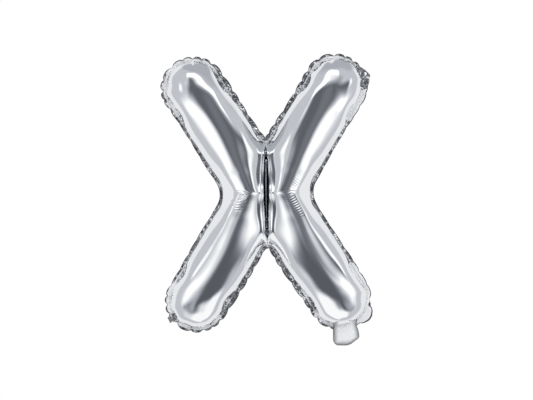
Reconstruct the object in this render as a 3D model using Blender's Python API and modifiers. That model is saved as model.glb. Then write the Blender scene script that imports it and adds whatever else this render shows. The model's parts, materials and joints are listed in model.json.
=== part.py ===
"""Air-filled foil balloon in the shape of the letter X, held up by the air.

The letter stands in the XZ plane. +Z is up, -Y is the front and +X is the right-hand side
as seen from the front. The origin is the middle of the centre weld.
Lengths in the tables are millimetres. The meshes are in metres.
"""
import math

import bpy

MM = 0.001

# Outline of the welded seam, one quarter of the letter (upper right)
CAP_X = 85.5          # middle of a rounded arm end
CAP_Z = 127.0
CAP_R = 34.0          # seam radius round an arm end
CROTCH_Z = 62.0       # lowest point of the seam between the two upper arms
CROTCH_R = 7.0
WAIST_X = 53.0        # seam at half height
WAIST_R = 30.0

# Foil and seam
FOIL = 1.0            # drawn wall, see the record's stand-ins
RIM = 0.6             # how far a panel's rim stands off the middle plane
WEB_HALF = 2.2        # half width of the flat strip over the centre weld
WEB_Y = 1.6           # outer face of that strip
WEB_LIFT = 0.5        # the strip's two ends stand this much further off
SEAM_THICK = 0.6
SEAM_OUT = 5.5        # the seam band reaches this far outside the panels
SEAM_IN = 1.0         # and this far under their rims
SCALLOP = 0.45        # height of the puckers on the band's free edge
SCALLOP_TURN = 2.4    # radians of pucker from one point of the edge to the next
CROTCH_PLAIN = 8.0    # the band's edge is plain this near the middle

# Centre weld
WELD_END = 60.0
WELD_HALF = 1.7
WELD_PINCH = (40.0, -2.0, -27.0)   # middles of the three gaps that let the air across
PINCH_HALF = 2.5      # half height of a gap
PINCH_WIDE = 0.45     # share of the weld's width that is left there
WELD_STEPS = 40

# Filling neck and its valve
LAYER = 0.5           # one layer of the neck or a tab
LAYER_Y = 0.85        # middle of that layer
NECK_X = (76.5, 106.5)
NECK_END_X = (79.0, 109.0)
NECK_END_Z = -184.0
NECK_ROOT = 0.5       # the layers start this far outside the weld
NECK_FOOT = [         # share across the open end, rise above its lowest point
    (0.0, 5.0), (0.08, 2.0), (0.2, 0.4), (0.35, 0.0), (0.62, 0.0), (0.75, 2.0), (1.0, 9.0),
]
VALVE_X = (82.0, 101.5)
VALVE_END_X = (84.5, 103.5)
VALVE_END_Z = -178.0
VALVE_ROOT = 0.9      # the valve starts this far outside the band
VALVE_FOOT = [(0.0, 0.0), (1.0, 0.0)]
VALVE_THICK = 0.4

# Hanging tabs
HOLE_R = 2.0
HOLE_SIDES = 24
HOLE_DEEP = 12.0
TAB_HALF_DEG = 10.0
TAB_IN = 0.6          # clear of the panel's wall
TAB_ROUND = 0.22      # share of its reach that a tab's corners lose
TABS = [
    # name, hole's name, side_x, side_z, angle_deg, reach, distance of the hole from the weld
    ("hanging_tab_upper", "hole_upper", 1, 1, 21.0, 8.6, 4.6),
    ("hanging_tab_lower", "hole_lower", -1, -1, 214.0, 8.2, 4.4),
]

# Rows of one arm, from the waist to the rounded end.
# "weld" rows start on the centre weld at the height given, "arm" rows at a share of the
# inner edge, "cap" rows at an angle round the arm end. "outer" is a share of the outer edge.
ROWS = [
    # kind,  inner, outer, half_depth
    ("weld", 0.0, 0.000, 30.5),
    ("weld", 13.0, 0.048, 30.8),
    ("weld", 26.0, 0.094, 31.2),
    ("weld", 38.0, 0.135, 31.5),
    ("weld", 49.0, 0.175, 31.5),
    ("weld", 57.0, 0.208, 31.3),
    ("weld", 62.0, 0.236, 31.0),
    ("arm", 0.13, 0.330, 30.8),
    ("arm", 0.31, 0.470, 30.3),
    ("arm", 0.52, 0.632, 29.5),
    ("arm", 0.76, 0.816, 28.3),
    ("arm", 1.00, 1.000, 26.5),
    ("cap", 22.0, 22.0, 23.5),
    ("cap", 40.0, 40.0, 19.0),
    ("cap", 56.0, 56.0, 13.5),
    ("cap", 69.0, 69.0, 8.0),
    ("cap", 80.0, 80.0, 0.0),
]

# Angles of the points across an arm, inner seam to outer seam
ACROSS = [0, 9, 24, 43, 64, 90, 116, 137, 156, 171, 180]

# Points along a quarter of the band: down the inner edge, round the arm end, the outer edge
INNER_STEPS = 9
CAP_STEPS = 20
OUTER_STEPS = 11
QUARTER_STEPS = INNER_STEPS + CAP_STEPS + OUTER_STEPS

# Places where the band's free edge runs out further
LOBES = [
    # side_x, side_z, angle_deg, half_width_deg, extra
    (1, 1, 21.0, 15.0, 4.6),
    (-1, -1, 214.0, 14.0, 4.2),
    (1, -1, -37.0, 19.0, 9.5),
]
LOBE_BLUNT = 0.8      # under 1, a lobe's tip is blunter than a cosine
LOBE_NEAR = 1.6       # arm end radii: further off, a point belongs to another arm

# name, base colour, metallic, roughness
LOOKS = {
    "front_panel": ((0.80, 0.80, 0.82), 1.0, 0.16),
    "back_panel": ((0.78, 0.78, 0.80), 1.0, 0.18),
    "edge_seam": ((0.66, 0.67, 0.70), 1.0, 0.28),
    "centre_weld": ((0.55, 0.56, 0.60), 1.0, 0.35),
    "neck_front": ((0.74, 0.74, 0.77), 0.9, 0.30),
    "neck_back": ((0.72, 0.72, 0.75), 0.9, 0.30),
    "valve_film": ((0.86, 0.87, 0.88), 0.0, 0.25),
    "hanging_tab_upper": ((0.70, 0.70, 0.73), 1.0, 0.28),
    "hanging_tab_lower": ((0.70, 0.70, 0.73), 1.0, 0.28),
}


def clear_scene():
    for ob in list(bpy.data.objects):
        bpy.data.objects.remove(ob, do_unlink=True)


def collection(name):
    col = bpy.data.collections.new(name)
    bpy.context.scene.collection.children.link(col)
    return col


def move_to(ob, col):
    for old in list(ob.users_collection):
        old.objects.unlink(ob)
    col.objects.link(ob)


def look(ob):
    colour, metallic, roughness = LOOKS[ob.name]
    mat = bpy.data.materials.new(ob.name)
    mat.use_nodes = True
    bsdf = mat.node_tree.nodes["Principled BSDF"]
    bsdf.inputs["Base Color"].default_value = (*colour, 1.0)
    bsdf.inputs["Metallic"].default_value = metallic
    bsdf.inputs["Roughness"].default_value = roughness
    ob.data.materials.append(mat)


def mapped_grid(name, columns, rows, place, col):
    """A grid primitive whose points are moved to place(column, row), in millimetres."""
    bpy.ops.mesh.primitive_grid_add(x_subdivisions=columns, y_subdivisions=rows, size=2.0)
    ob = bpy.context.active_object
    ob.name = name
    ob.data.name = name
    for v in ob.data.vertices:
        i = round((v.co.x + 1.0) / 2.0 * columns)
        j = round((v.co.y + 1.0) / 2.0 * rows)
        x, y, z = place(i, j)
        v.co = (x * MM, y * MM, z * MM)
    ob.data.update()
    move_to(ob, col)
    return ob


def solidify(ob, thickness, offset):
    mod = ob.modifiers.new("foil thickness", "SOLIDIFY")
    mod.thickness = thickness * MM
    mod.offset = offset
    mod.use_even_offset = True
    mod.use_rim = True
    return mod


def mirror(ob, use_x, use_z):
    mod = ob.modifiers.new("both sides", "MIRROR")
    mod.use_axis = (use_x, False, use_z)
    mod.use_mirror_merge = True
    mod.merge_threshold = 0.00001


def smooth(ob):
    for poly in ob.data.polygons:
        poly.use_smooth = True


# The outline of the seam

def unit(angle):
    return math.cos(angle), math.sin(angle)


def tangent_angle(centre, radius, side):
    """Angle, seen from the arm end, of the edge shared with a fillet on one side."""
    dx = centre[0] - CAP_X
    dz = centre[1] - CAP_Z
    turn = math.acos((CAP_R + radius) / math.hypot(dx, dz))
    return math.atan2(dz, dx) + side * turn


CROTCH_C = (0.0, CROTCH_Z + CROTCH_R)
WAIST_C = (WAIST_X + WAIST_R, 0.0)
INNER_ANGLE = tangent_angle(CROTCH_C, CROTCH_R, -1) % (2 * math.pi)
OUTER_ANGLE = tangent_angle(WAIST_C, WAIST_R, 1)
TIP_ANGLE = (INNER_ANGLE + OUTER_ANGLE) / 2


def fillet_edge(centre, radius, start, end, share, d):
    """Point at a share of the edge made of a fillet and the straight run to the arm end."""
    bow = abs(end - start) * radius
    foot = unit(end)
    cap = unit(end + math.pi)
    x0 = centre[0] + radius * foot[0]
    z0 = centre[1] + radius * foot[1]
    x1 = CAP_X + CAP_R * cap[0]
    z1 = CAP_Z + CAP_R * cap[1]
    run = math.hypot(x1 - x0, z1 - z0)
    s = share * (bow + run)
    if s < bow:
        a = start + (end - start) * s / bow
        r = radius - d
        return centre[0] + r * math.cos(a), centre[1] + r * math.sin(a)
    t = (s - bow) / run
    return x0 + (x1 - x0) * t - d * foot[0], z0 + (z1 - z0) * t - d * foot[1]


def inner_edge(share, d=0.0):
    return fillet_edge(CROTCH_C, CROTCH_R, -math.pi / 2, INNER_ANGLE - math.pi, share, d)


def outer_edge(share, d=0.0):
    return fillet_edge(WAIST_C, WAIST_R, math.pi, OUTER_ANGLE + math.pi, share, d)


def cap_edge(angle, d=0.0):
    return CAP_X + (CAP_R + d) * math.cos(angle), CAP_Z + (CAP_R + d) * math.sin(angle)


def row_ends(kind, inner, outer):
    if kind == "weld":
        return (0.0, inner), outer_edge(outer)
    if kind == "arm":
        return inner_edge(inner), outer_edge(outer)
    swing_in = INNER_ANGLE + (TIP_ANGLE - INNER_ANGLE) * inner / 90.0
    swing_out = OUTER_ANGLE + (TIP_ANGLE - OUTER_ANGLE) * outer / 90.0
    return cap_edge(swing_in), cap_edge(swing_out)


# The two foil panels

def panel_point(i, j, front):
    kind, inner, outer, depth = ROWS[j]
    start, end = row_ends(kind, inner, outer)
    theta = math.radians(ACROSS[i])
    height = RIM + depth * math.sin(theta)
    t = (1 - math.cos(theta)) / 2
    if j == len(ROWS) - 1:
        swing = INNER_ANGLE + (TIP_ANGLE - INNER_ANGLE) * inner / 90.0
        back = OUTER_ANGLE + (TIP_ANGLE - OUTER_ANGLE) * outer / 90.0
        x, z = cap_edge(swing + (back - swing) * t)
        return x, -RIM * front, z
    if kind == "weld":
        web = WEB_Y + (WEB_LIFT if inner >= CROTCH_Z else 0.0)
        if i == 0:
            return 0.0, -web * front, inner
        if i == 1:
            t, height = 0.0, web
        start = (WEB_HALF, inner)
    x = start[0] + (end[0] - start[0]) * t
    z = start[1] + (end[1] - start[1]) * t
    return x, -height * front, z


def panel(name, front, col):
    """One foil panel: a quarter drawn by the table, mirrored twice, then given a wall."""
    ob = mapped_grid(name, len(ACROSS) - 1, len(ROWS) - 1,
                     lambda i, j: panel_point(i, j, front), col)
    mirror(ob, True, True)
    solidify(ob, FOIL, -1.0 if front > 0 else 1.0)
    smooth(ob)
    look(ob)
    return ob


# The seam band

def extra(x, z):
    """How much further the band runs out at a point near a tab or the neck."""
    total = 0.0
    for side_x, side_z, angle, half, height in LOBES:
        dx = x - side_x * CAP_X
        dz = z - side_z * CAP_Z
        if math.hypot(dx, dz) > CAP_R * LOBE_NEAR:
            continue
        off = (math.degrees(math.atan2(dz, dx)) - angle + 180.0) % 360.0 - 180.0
        if abs(off) < half:
            total += height * math.cos(off / half * math.pi / 2) ** LOBE_BLUNT
    return total


def quarter_point(k, d):
    """Point k of the quarter outline, from the crotch round the arm end to the waist."""
    if k <= INNER_STEPS:
        return inner_edge(k / INNER_STEPS, d)
    if k <= INNER_STEPS + CAP_STEPS:
        t = (k - INNER_STEPS) / CAP_STEPS
        return cap_edge(INNER_ANGLE + (OUTER_ANGLE - INNER_ANGLE) * t, d)
    return outer_edge((QUARTER_STEPS - k) / OUTER_STEPS, d)


def loop_point(n, d):
    """Point n of the whole outline: four quarters, two of them run backwards."""
    quarter, k = divmod(n % (4 * QUARTER_STEPS), QUARTER_STEPS)
    if quarter % 2:
        k = QUARTER_STEPS - k
    x, z = quarter_point(k, d)
    side_x = 1 if quarter in (0, 1) else -1
    side_z = 1 if quarter in (0, 3) else -1
    return x * side_x, z * side_z


def band_point(i, j):
    n = j % (4 * QUARTER_STEPS)
    if i == 0:
        x, z = loop_point(n, -SEAM_IN)
        return x, 0.0, z
    x, z = loop_point(n, SEAM_OUT * 0.5)
    if i == 1:
        return x, 0.0, z
    reach = SEAM_OUT + extra(x, z) + SCALLOP * math.sin(n * SCALLOP_TURN)
    if abs(x) < CROTCH_PLAIN:
        reach = SEAM_OUT
    x, z = loop_point(n, reach)
    return x, 0.0, z


def edge_seam(col):
    """The heat seal all round the letter: a ring, closed by welding its two ends."""
    ob = mapped_grid("edge_seam", 2, 4 * QUARTER_STEPS, band_point, col)
    weld = ob.modifiers.new("close the ring", "WELD")
    weld.merge_threshold = 0.00001
    solidify(ob, SEAM_THICK, 0.0)
    look(ob)
    return ob


def weld_point(i, j):
    z = -WELD_END + 2 * WELD_END * j / WELD_STEPS
    near = min(abs(z - pinch) for pinch in WELD_PINCH)
    half = WELD_HALF if near > PINCH_HALF else WELD_HALF * PINCH_WIDE
    return half * (i - 1), 0.0, z


def centre_weld(col):
    """The straight weld that ties the two panels together down the middle."""
    ob = mapped_grid("centre_weld", 2, WELD_STEPS, weld_point, col)
    solidify(ob, SEAM_THICK, 0.0)
    look(ob)
    return ob


# The neck, the valve and the tabs

def below_cap(x, radius):
    """Height of the lower right arm end's rim at x, for a given radius."""
    return -CAP_Z - math.sqrt(radius * radius - (x - CAP_X) ** 2)


def foot_rise(foot, u):
    """How far the open end rises above its lowest point, read off a list by share across."""
    for (u0, rise0), (u1, rise1) in zip(foot, foot[1:]):
        if u <= u1:
            return rise0 + (rise1 - rise0) * (u - u0) / (u1 - u0)
    return foot[-1][1]


def tongue(name, y, thick, top_x, end_x, end_z, foot, radius, columns, rows, col):
    """A flat strip that leaves the lower right arm end and hangs down."""
    def place(i, j):
        t = j / rows
        u = i / columns
        x_top = top_x[0] + (top_x[1] - top_x[0]) * u
        x_end = end_x[0] + (end_x[1] - end_x[0]) * u
        z_top = below_cap(x_top, radius)
        z_end = end_z + foot_rise(foot, u)
        return x_top + (x_end - x_top) * t, y, z_top + (z_end - z_top) * t
    ob = mapped_grid(name, columns, rows, place, col)
    solidify(ob, thick, 0.0)
    look(ob)
    return ob


def tab(name, side_x, side_z, angle, reach, col):
    """A patch on the front of the band, with the hole for the hanging ribbon."""
    columns, rows = 10, 4

    def place(i, j):
        u = i / columns * 2 - 1
        t = j / rows
        swing = math.radians(angle + TAB_HALF_DEG * u)
        round_off = 1.0 - TAB_ROUND * abs(u) ** 3
        radius = CAP_R + TAB_IN + (reach - TAB_IN) * t * (round_off if j == rows else 1.0)
        x = side_x * CAP_X + radius * math.cos(swing)
        z = side_z * CAP_Z + radius * math.sin(swing)
        return x, -LAYER_Y, z
    ob = mapped_grid(name, columns, rows, place, col)
    solidify(ob, LAYER, 0.0)
    look(ob)
    return ob


def hole(targets, name, side_x, side_z, angle, out, cutters):
    """Cut the ribbon hole through a tab and through the band behind it."""
    swing = math.radians(angle)
    x = (side_x * CAP_X + (CAP_R + out) * math.cos(swing)) * MM
    z = (side_z * CAP_Z + (CAP_R + out) * math.sin(swing)) * MM
    bpy.ops.mesh.primitive_cylinder_add(vertices=HOLE_SIDES, radius=HOLE_R * MM,
                                        depth=HOLE_DEEP * MM, location=(x, 0.0, z),
                                        rotation=(math.pi / 2, 0, 0))
    cutter = bpy.context.active_object
    cutter.name = name
    move_to(cutter, cutters)
    cutter.hide_render = True
    cutter.display_type = "WIRE"
    for target in targets:
        cut = target.modifiers.new(name, "BOOLEAN")
        cut.operation = "DIFFERENCE"
        cut.solver = "EXACT"
        cut.object = cutter


def main():
    clear_scene()
    col = collection("letter_foil_balloon")
    cutters = collection("cutters")
    panel("front_panel", 1, col)
    panel("back_panel", -1, col)
    band = edge_seam(col)
    centre_weld(col)
    for name, side in (("neck_front", -1), ("neck_back", 1)):
        tongue(name, side * LAYER_Y, LAYER, NECK_X, NECK_END_X, NECK_END_Z, NECK_FOOT,
               CAP_R + NECK_ROOT, 16, 5, col)
    tongue("valve_film", 0.0, VALVE_THICK, VALVE_X, VALVE_END_X, VALVE_END_Z, VALVE_FOOT,
           CAP_R + SEAM_OUT + VALVE_ROOT, 8, 3, col)
    for name, hole_name, side_x, side_z, angle, reach, out in TABS:
        patch = tab(name, side_x, side_z, angle, reach, col)
        hole([patch, band], hole_name, side_x, side_z, angle, out, cutters)


main()
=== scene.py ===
# %% [markdown]
# # A foil letter balloon, air-filled
# The object is one letter X cut twice out of metallised film, welded round its edge and
# down its middle, and blown up through a short neck under the lower right arm.
# Nothing stiff holds its shape: the air does. So the body is not sculpted here. The flat
# pattern is drawn first, then a cloth simulation blows it up, and the creases, the gathers
# and the pillow-shaped ends come out of that, as they do on the real thing.
#
# The imported model comes first. It says where everything is.

import json
import math
import time

import bpy
import numpy as np
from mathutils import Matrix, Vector, kdtree
from mathutils.bvhtree import BVHTree
from mathutils.geometry import barycentric_transform, delaunay_2d_cdt

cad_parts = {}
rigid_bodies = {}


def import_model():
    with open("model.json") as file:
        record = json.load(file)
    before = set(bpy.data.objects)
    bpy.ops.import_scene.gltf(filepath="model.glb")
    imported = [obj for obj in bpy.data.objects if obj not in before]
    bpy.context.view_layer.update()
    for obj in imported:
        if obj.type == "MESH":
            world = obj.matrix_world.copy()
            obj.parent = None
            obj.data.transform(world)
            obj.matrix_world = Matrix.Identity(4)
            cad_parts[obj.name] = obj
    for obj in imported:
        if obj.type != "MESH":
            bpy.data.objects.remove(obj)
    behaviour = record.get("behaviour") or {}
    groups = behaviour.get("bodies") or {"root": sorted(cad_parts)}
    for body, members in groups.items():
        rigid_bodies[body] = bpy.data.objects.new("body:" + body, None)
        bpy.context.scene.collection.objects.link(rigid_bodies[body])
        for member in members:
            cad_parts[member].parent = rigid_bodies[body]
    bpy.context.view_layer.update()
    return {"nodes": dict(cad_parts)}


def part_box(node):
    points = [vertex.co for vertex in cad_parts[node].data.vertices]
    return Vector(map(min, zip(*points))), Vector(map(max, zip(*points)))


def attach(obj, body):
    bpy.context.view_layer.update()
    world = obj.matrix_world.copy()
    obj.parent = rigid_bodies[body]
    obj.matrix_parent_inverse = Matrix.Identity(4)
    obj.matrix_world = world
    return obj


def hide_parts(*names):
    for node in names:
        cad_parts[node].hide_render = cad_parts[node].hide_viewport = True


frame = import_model()
MM = 0.001
START = time.time()


# %% [markdown]
# ## Helpers
# An operator acts on whatever is selected, and the frame leaves its nodes selected. So
# every piece starts from an empty selection, and is the only active object while it is
# worked on. Points are handled as whole arrays in millimetres, because a skin has tens of
# thousands of them, and are turned into Blender's metres on the way in.

# %% Selecting, reading and writing
def pick(ob):
    """Make one object the only selected and active one."""
    bpy.ops.object.select_all(action="DESELECT")
    ob.select_set(True)
    bpy.context.view_layer.objects.active = ob


def apply_all(ob):
    """Apply an object's modifiers from the top down."""
    pick(ob)
    for name in [m.name for m in ob.modifiers]:
        bpy.ops.object.modifier_apply(modifier=name)


def mesh_object(name, points, faces):
    """A new object from points in millimetres."""
    mesh = bpy.data.meshes.new(name)
    mesh.from_pydata((np.asarray(points) * MM).tolist(), [], [list(map(int, f)) for f in faces])
    ob = bpy.data.objects.new(name, mesh)
    bpy.context.scene.collection.objects.link(ob)
    return ob


def fetch(items, key, width=1, kind=float):
    """One value of every item in a mesh's list, as an array."""
    values = np.zeros(len(items) * width, kind)
    items.foreach_get(key, values)
    return values.reshape(-1, width) if width > 1 else values


def points_of(ob):
    """An object's vertices in millimetres."""
    return fetch(ob.data.vertices, "co", 3) / MM


def put_points(ob, points):
    """Write vertices back, from millimetres."""
    ob.data.vertices.foreach_set("co", (points * MM).astype(np.float32).ravel())
    ob.data.update()


# %% [markdown]
# ## Camera
# The balloon was photographed square on, from about the height of its middle, with a long
# lens, and it fills a little under two thirds of the picture's height. One picture point is
# 1.2 mm at the balloon, and the letter leans one degree to the left. So the camera stands
# level and far away, and is turned by that one degree, while the letter stays upright.

# %% Camera
PHOTO_WIDE = 533
MM_PER_POINT = 1.2
CAMERA_FAR = 1500.0          # mm from the balloon's middle plane
SENSOR = 36.0
LEAN = 1.1                   # degrees
AIM_Z = -8.4                 # the letter's middle sits 7 points above the picture's middle

camera_data = bpy.data.cameras.new("camera")
camera_data.sensor_width = SENSOR
camera_data.lens = SENSOR * CAMERA_FAR / (PHOTO_WIDE * MM_PER_POINT)
camera_data.clip_start = 0.05
camera = bpy.data.objects.new("camera", camera_data)
bpy.context.scene.collection.objects.link(camera)
camera.location = (0.0, -CAMERA_FAR * MM, AIM_Z * MM)
camera.rotation_euler = (math.radians(90.0), math.radians(LEAN), 0.0)
bpy.context.scene.camera = camera
bpy.context.scene.view_settings.view_transform = "Standard"
print("lens", round(camera_data.lens, 1), "mm")

# %% [markdown]
# ## The flat pattern
# Each sheet is the letter drawn fat: foil does not stretch, so an arm that is to be a round
# tube 64 mm thick starts as a flat strip 100 mm wide. A quarter of the outline is a small
# round at the crotch, a straight edge, the big round of the arm's end, a straight edge back
# and a wide round at the waist. The other three quarters are its mirror images.

# %% Outline sizes
SHEET_EDGE = {               # the flat pattern, mm
    "end": (87.0, 129.5),    # centre of the round of an arm's end
    "radius": 50.0,          # half width of an arm
    "crotch": 64.0,          # where the edge crosses the middle, above and below
    "crotch_round": 7.0,
    "waist": 91.0,           # where the edge crosses half height
    "waist_round": 40.0,
}
BLOWN_RADIUS = 34.0
panel_high = np.array(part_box("front_panel")[1]) / MM
BLOWN_EDGE = {               # the same edge once the air is in
    "end": (panel_high[0] - BLOWN_RADIUS, panel_high[2] - BLOWN_RADIUS),
    "radius": BLOWN_RADIUS,
    "crotch": 62.0,
    "crotch_round": 7.0,
    "waist": 53.0,
    "waist_round": 30.0,
}
STATION_MARKS = (0.0, 0.2, 1.0, 3.0, 3.8, 4.0)      # where the five runs of a quarter meet
EDGE_STEP = 2.1              # spacing of points along the weld
SHEET_STEP = 3.5             # spacing of points inside
print("blown up, the ends' centres lie at", [round(c, 1) for c in BLOWN_EDGE["end"]])


# %% [markdown]
# Between two rounds the edge runs straight, as a tangent of both. The angle at which it
# touches them follows from their centres and radii, so the outline has no corner anywhere.

# %% Rounds of the outline
def rounds(shape):
    """Centres of the crotch and waist rounds, and the angles where the arm's end meets them."""
    crotch = (0.0, shape["crotch"] + shape["crotch_round"])
    waist = (shape["waist"] + shape["waist_round"], 0.0)
    angles = []
    for centre, radius, side in ((crotch, shape["crotch_round"], -1),
                                 (waist, shape["waist_round"], 1)):
        away = np.subtract(centre, shape["end"])
        turn = math.acos((shape["radius"] + radius) / math.hypot(*away))
        angles.append(math.atan2(away[1], away[0]) + side * turn)
    return crotch, waist, angles[0] % (2 * math.pi), angles[1]


def arc(centre, radius, start, stop, steps):
    """Points on a round, from one angle to another."""
    a = np.linspace(start, stop, steps + 1)
    return np.stack([centre[0] + radius * np.cos(a), centre[1] + radius * np.sin(a)], 1)


def arcs_of(shape, out, steps=(1, 1, 1)):
    """The three rounds of a quarter outline that runs a distance outside the weld."""
    crotch, waist, inner, outer = rounds(shape)
    return (arc(crotch, shape["crotch_round"] - out, -math.pi / 2, inner - math.pi, steps[0]),
            arc(shape["end"], shape["radius"] + out, inner, outer, steps[1]),
            arc(waist, shape["waist_round"] - out, outer + math.pi, math.pi, steps[2]))


# %% [markdown]
# Every outline that follows the weld is drawn with the same counts, flat, blown up or wider,
# so its points can be matched one by one. Each point also gets a station, a number that says
# where on the letter it lies: at a crotch, at an arm's end or at the waist.

# %% The whole outline
def counts_of(shape, step):
    """How many steps each of the five runs of a quarter takes."""
    inner, outer = rounds(shape)[2:]
    low, end, side = arcs_of(shape, 0.0)
    return (max(2, round(shape["crotch_round"] * (inner - math.pi / 2) / step)),
            round(math.dist(low[1], end[0]) / step),
            round(shape["radius"] * (inner - outer) / step),
            round(math.dist(end[1], side[0]) / step),
            max(2, round(abs(shape["waist_round"] * outer) / step)))


def outline(shape, out, counts):
    """The whole outline from the top crotch round, and the station of each point.
    A station is 0 at a crotch, 1 and 3 where an arm's round end begins and stops, 4 at the waist."""
    low, end, side = arcs_of(shape, out, counts[::2])
    runs = [low, np.linspace(low[-1], end[0], counts[1] + 1),
            end, np.linspace(end[-1], side[0], counts[3] + 1), side]
    stations = [np.linspace(a, b, steps + 1)
                for a, b, steps in zip(STATION_MARKS, STATION_MARKS[1:], counts)]
    q, s = (np.concatenate([parts[0]] + [part[1:] for part in parts[1:]])
            for parts in (runs, stations))
    up = q[::-1]
    loop = np.concatenate([q, (up * [1, -1])[1:], (q * [-1, -1])[1:], (up * [-1, 1])[1:-1]])
    return loop, np.concatenate([s, s[::-1][1:], s[1:], s[::-1][1:-1]])


EDGE_COUNTS = counts_of(SHEET_EDGE, EDGE_STEP)
edge, station = outline(SHEET_EDGE, 0.0, EDGE_COUNTS)
EDGE_COUNT = len(edge)
print("weld outline", EDGE_COUNT, "points,", round(float(np.linalg.norm(
    edge - np.roll(edge, 1, 0), axis=1).sum())), "mm round")

# %% [markdown]
# ## Filling the pattern with triangles
# A cloth simulation is only as good as its mesh. A regular triangle lattice folds the same
# way in every direction, so the inside is filled with one, with closer rows beside the weld
# and down the middle, where the tight gathers will be. Delaunay triangulation joins them.

# %% Spacing
MID_COLUMNS = (1.6, 3.6, 6.0)       # mm to each side of the middle weld
NEAR_ROWS = (-1.7, -3.7, -6.1)      # mm out from the edge weld, so these run inside it
WELD_FROM, WELD_TO = 0.9, 0.5       # steps from the crotches to the middle weld's ends
INNER_ROW_STEP = 1.25               # the innermost row has its points this much further apart
CLOSE_ROOM = (1.3, 1.35)            # least distance from the edge, and between points
LATTICE_ROOM = (4.5, 2.3)
print("close rows at", MID_COLUMNS, "mm from the middle and", NEAR_ROWS, "mm from the edge")


# %% [markdown]
# Two points that nearly touch would give a needle of a triangle. So a wanted point is only
# kept if it lies inside the outline, off the edge, and away from all points kept so far.

# %% Which points fit
def tree_of(spots):
    """A search tree over points of the flat pattern."""
    tree = kdtree.KDTree(len(spots))
    for index, p in enumerate(spots):
        tree.insert((p[0], p[1], 0.0), index)
    tree.balance()
    return tree


edge_tree = tree_of(edge)
edge_next = np.roll(edge, -1, 0)


def inside(p):
    """Whether a point lies inside the outline, by counting edges to its right."""
    cuts = (edge[:, 1] > p[1]) != (edge_next[:, 1] > p[1])
    a, b = edge[cuts], edge_next[cuts]
    x = a[:, 0] + (b[:, 0] - a[:, 0]) * (p[1] - a[:, 1]) / (b[:, 1] - a[:, 1])
    return np.count_nonzero(x > p[0]) % 2 == 1


def add_points(kept, wanted, from_edge, apart):
    """Keep each wanted point that is inside and not crowded."""
    tree = tree_of(kept)
    cells = {}
    for p in wanted:
        spot = (p[0], p[1], 0.0)
        if edge_tree.find(spot)[2] < from_edge or tree.find(spot)[2] < apart:
            continue
        cell = (int(p[0] // apart), int(p[1] // apart))
        near = [q for i in (-1, 0, 1) for j in (-1, 0, 1)
                for q in cells.get((cell[0] + i, cell[1] + j), ())]
        if any(math.dist(p, q) < apart for q in near) or not inside(p):
            continue
        cells.setdefault(cell, []).append(p)
        kept.append(p)


# %% [markdown]
# The points go in by rank: first those of the middle weld, which have to be exactly there,
# then the close rows, and then the lattice where there is still room.

# %% Fill the sheet
CROTCH_LOW = SHEET_EDGE["crotch"]
weld_heights = np.arange(-CROTCH_LOW + EDGE_STEP * WELD_FROM,
                         CROTCH_LOW - EDGE_STEP * WELD_TO, EDGE_STEP)
sheet_points = [(0.0, float(z)) for z in weld_heights]
fine = [(side * x, float(z) + (EDGE_STEP / 2 if x == MID_COLUMNS[1] else 0.0))
        for x in MID_COLUMNS for z in weld_heights for side in (1, -1)]
for out in NEAR_ROWS:
    step = EDGE_STEP if out > NEAR_ROWS[1] else EDGE_STEP * INNER_ROW_STEP
    fine += [tuple(p) for p in outline(SHEET_EDGE, out, counts_of(SHEET_EDGE, step))[0]]
row_high = SHEET_STEP * math.sqrt(3) / 2
rows, columns = (int((SHEET_EDGE["end"][k] + SHEET_EDGE["radius"]) / size) + 1
                 for k, size in ((1, row_high), (0, SHEET_STEP)))
lattice = [((i + 0.5 * (j % 2)) * SHEET_STEP, j * row_high)
           for j in range(-rows, rows + 1) for i in range(-columns, columns + 1)]
add_points(sheet_points, fine, *CLOSE_ROOM)
add_points(sheet_points, lattice, *LATTICE_ROOM)

flat = np.concatenate([edge, np.array(sheet_points)])
corners = [(i, (i + 1) % EDGE_COUNT) for i in range(EDGE_COUNT)]
INSIDE_ONLY = 1              # the triangulation's output type
SAME_POINT = 1e-5
triangles = delaunay_2d_cdt([Vector(p) for p in flat], corners, [list(range(EDGE_COUNT))],
                            INSIDE_ONLY, SAME_POINT)[2]
print("one sheet:", len(flat), "points,", len(triangles), "triangles")

# %% [markdown]
# ## Two sheets, one weld
# The back sheet is a second copy of the triangles. Where the film is welded, round the edge
# and down the middle, both sheets use the same points, so nothing can pull them apart. The
# middle weld is a row of dashes on the real balloon: the three gaps let the air across.
# The flat rim outside the weld is in the simulation too, because it is what stops the edge
# from shrinking smoothly: it has to ruffle.

# %% Join the sheets
WELD_GAPS = (40.0, -2.0, -27.0)     # heights of the gaps in the middle weld
GAP_HALF = 2.3
RIM_ROWS = (1.5, 3.0, 4.4, 5.6)     # mm outside the weld
RUFFLE_SEED = 10.0           # mm from one seeded ruffle to the next
SEED_AT_ENDS = 0.8           # mm, how high the ruffles start
SEED_ELSEWHERE = 0.25
SEED_END = (0.5, 3.5, 2.0)   # stations where an arm's end begins and stops, and how fast it rises
SEED_WAIST = (3.4, 3.0)      # station where the ruffles begin to die out, and how fast
SEED_GROWS = 6.0             # mm out from the weld where they are twice as high
SHEETS_APART = 0.3           # mm

sheet_count = len(flat)
middle = EDGE_COUNT + np.arange(len(weld_heights))
gap = np.min([np.abs(weld_heights - z) for z in WELD_GAPS], axis=0) < GAP_HALF
shared = np.zeros(sheet_count, bool)
shared[:EDGE_COUNT] = True
shared[middle[~gap]] = True
free = np.flatnonzero(~shared)
twin = np.arange(sheet_count)
twin[free] = sheet_count + np.arange(len(free))


def turned_right(face):
    """Whether a triangle's corners go round the way that faces the front."""
    a, b, c = (flat[i] for i in face)
    return (b[0] - a[0]) * (c[1] - a[1]) > (b[1] - a[1]) * (c[0] - a[0])


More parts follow.
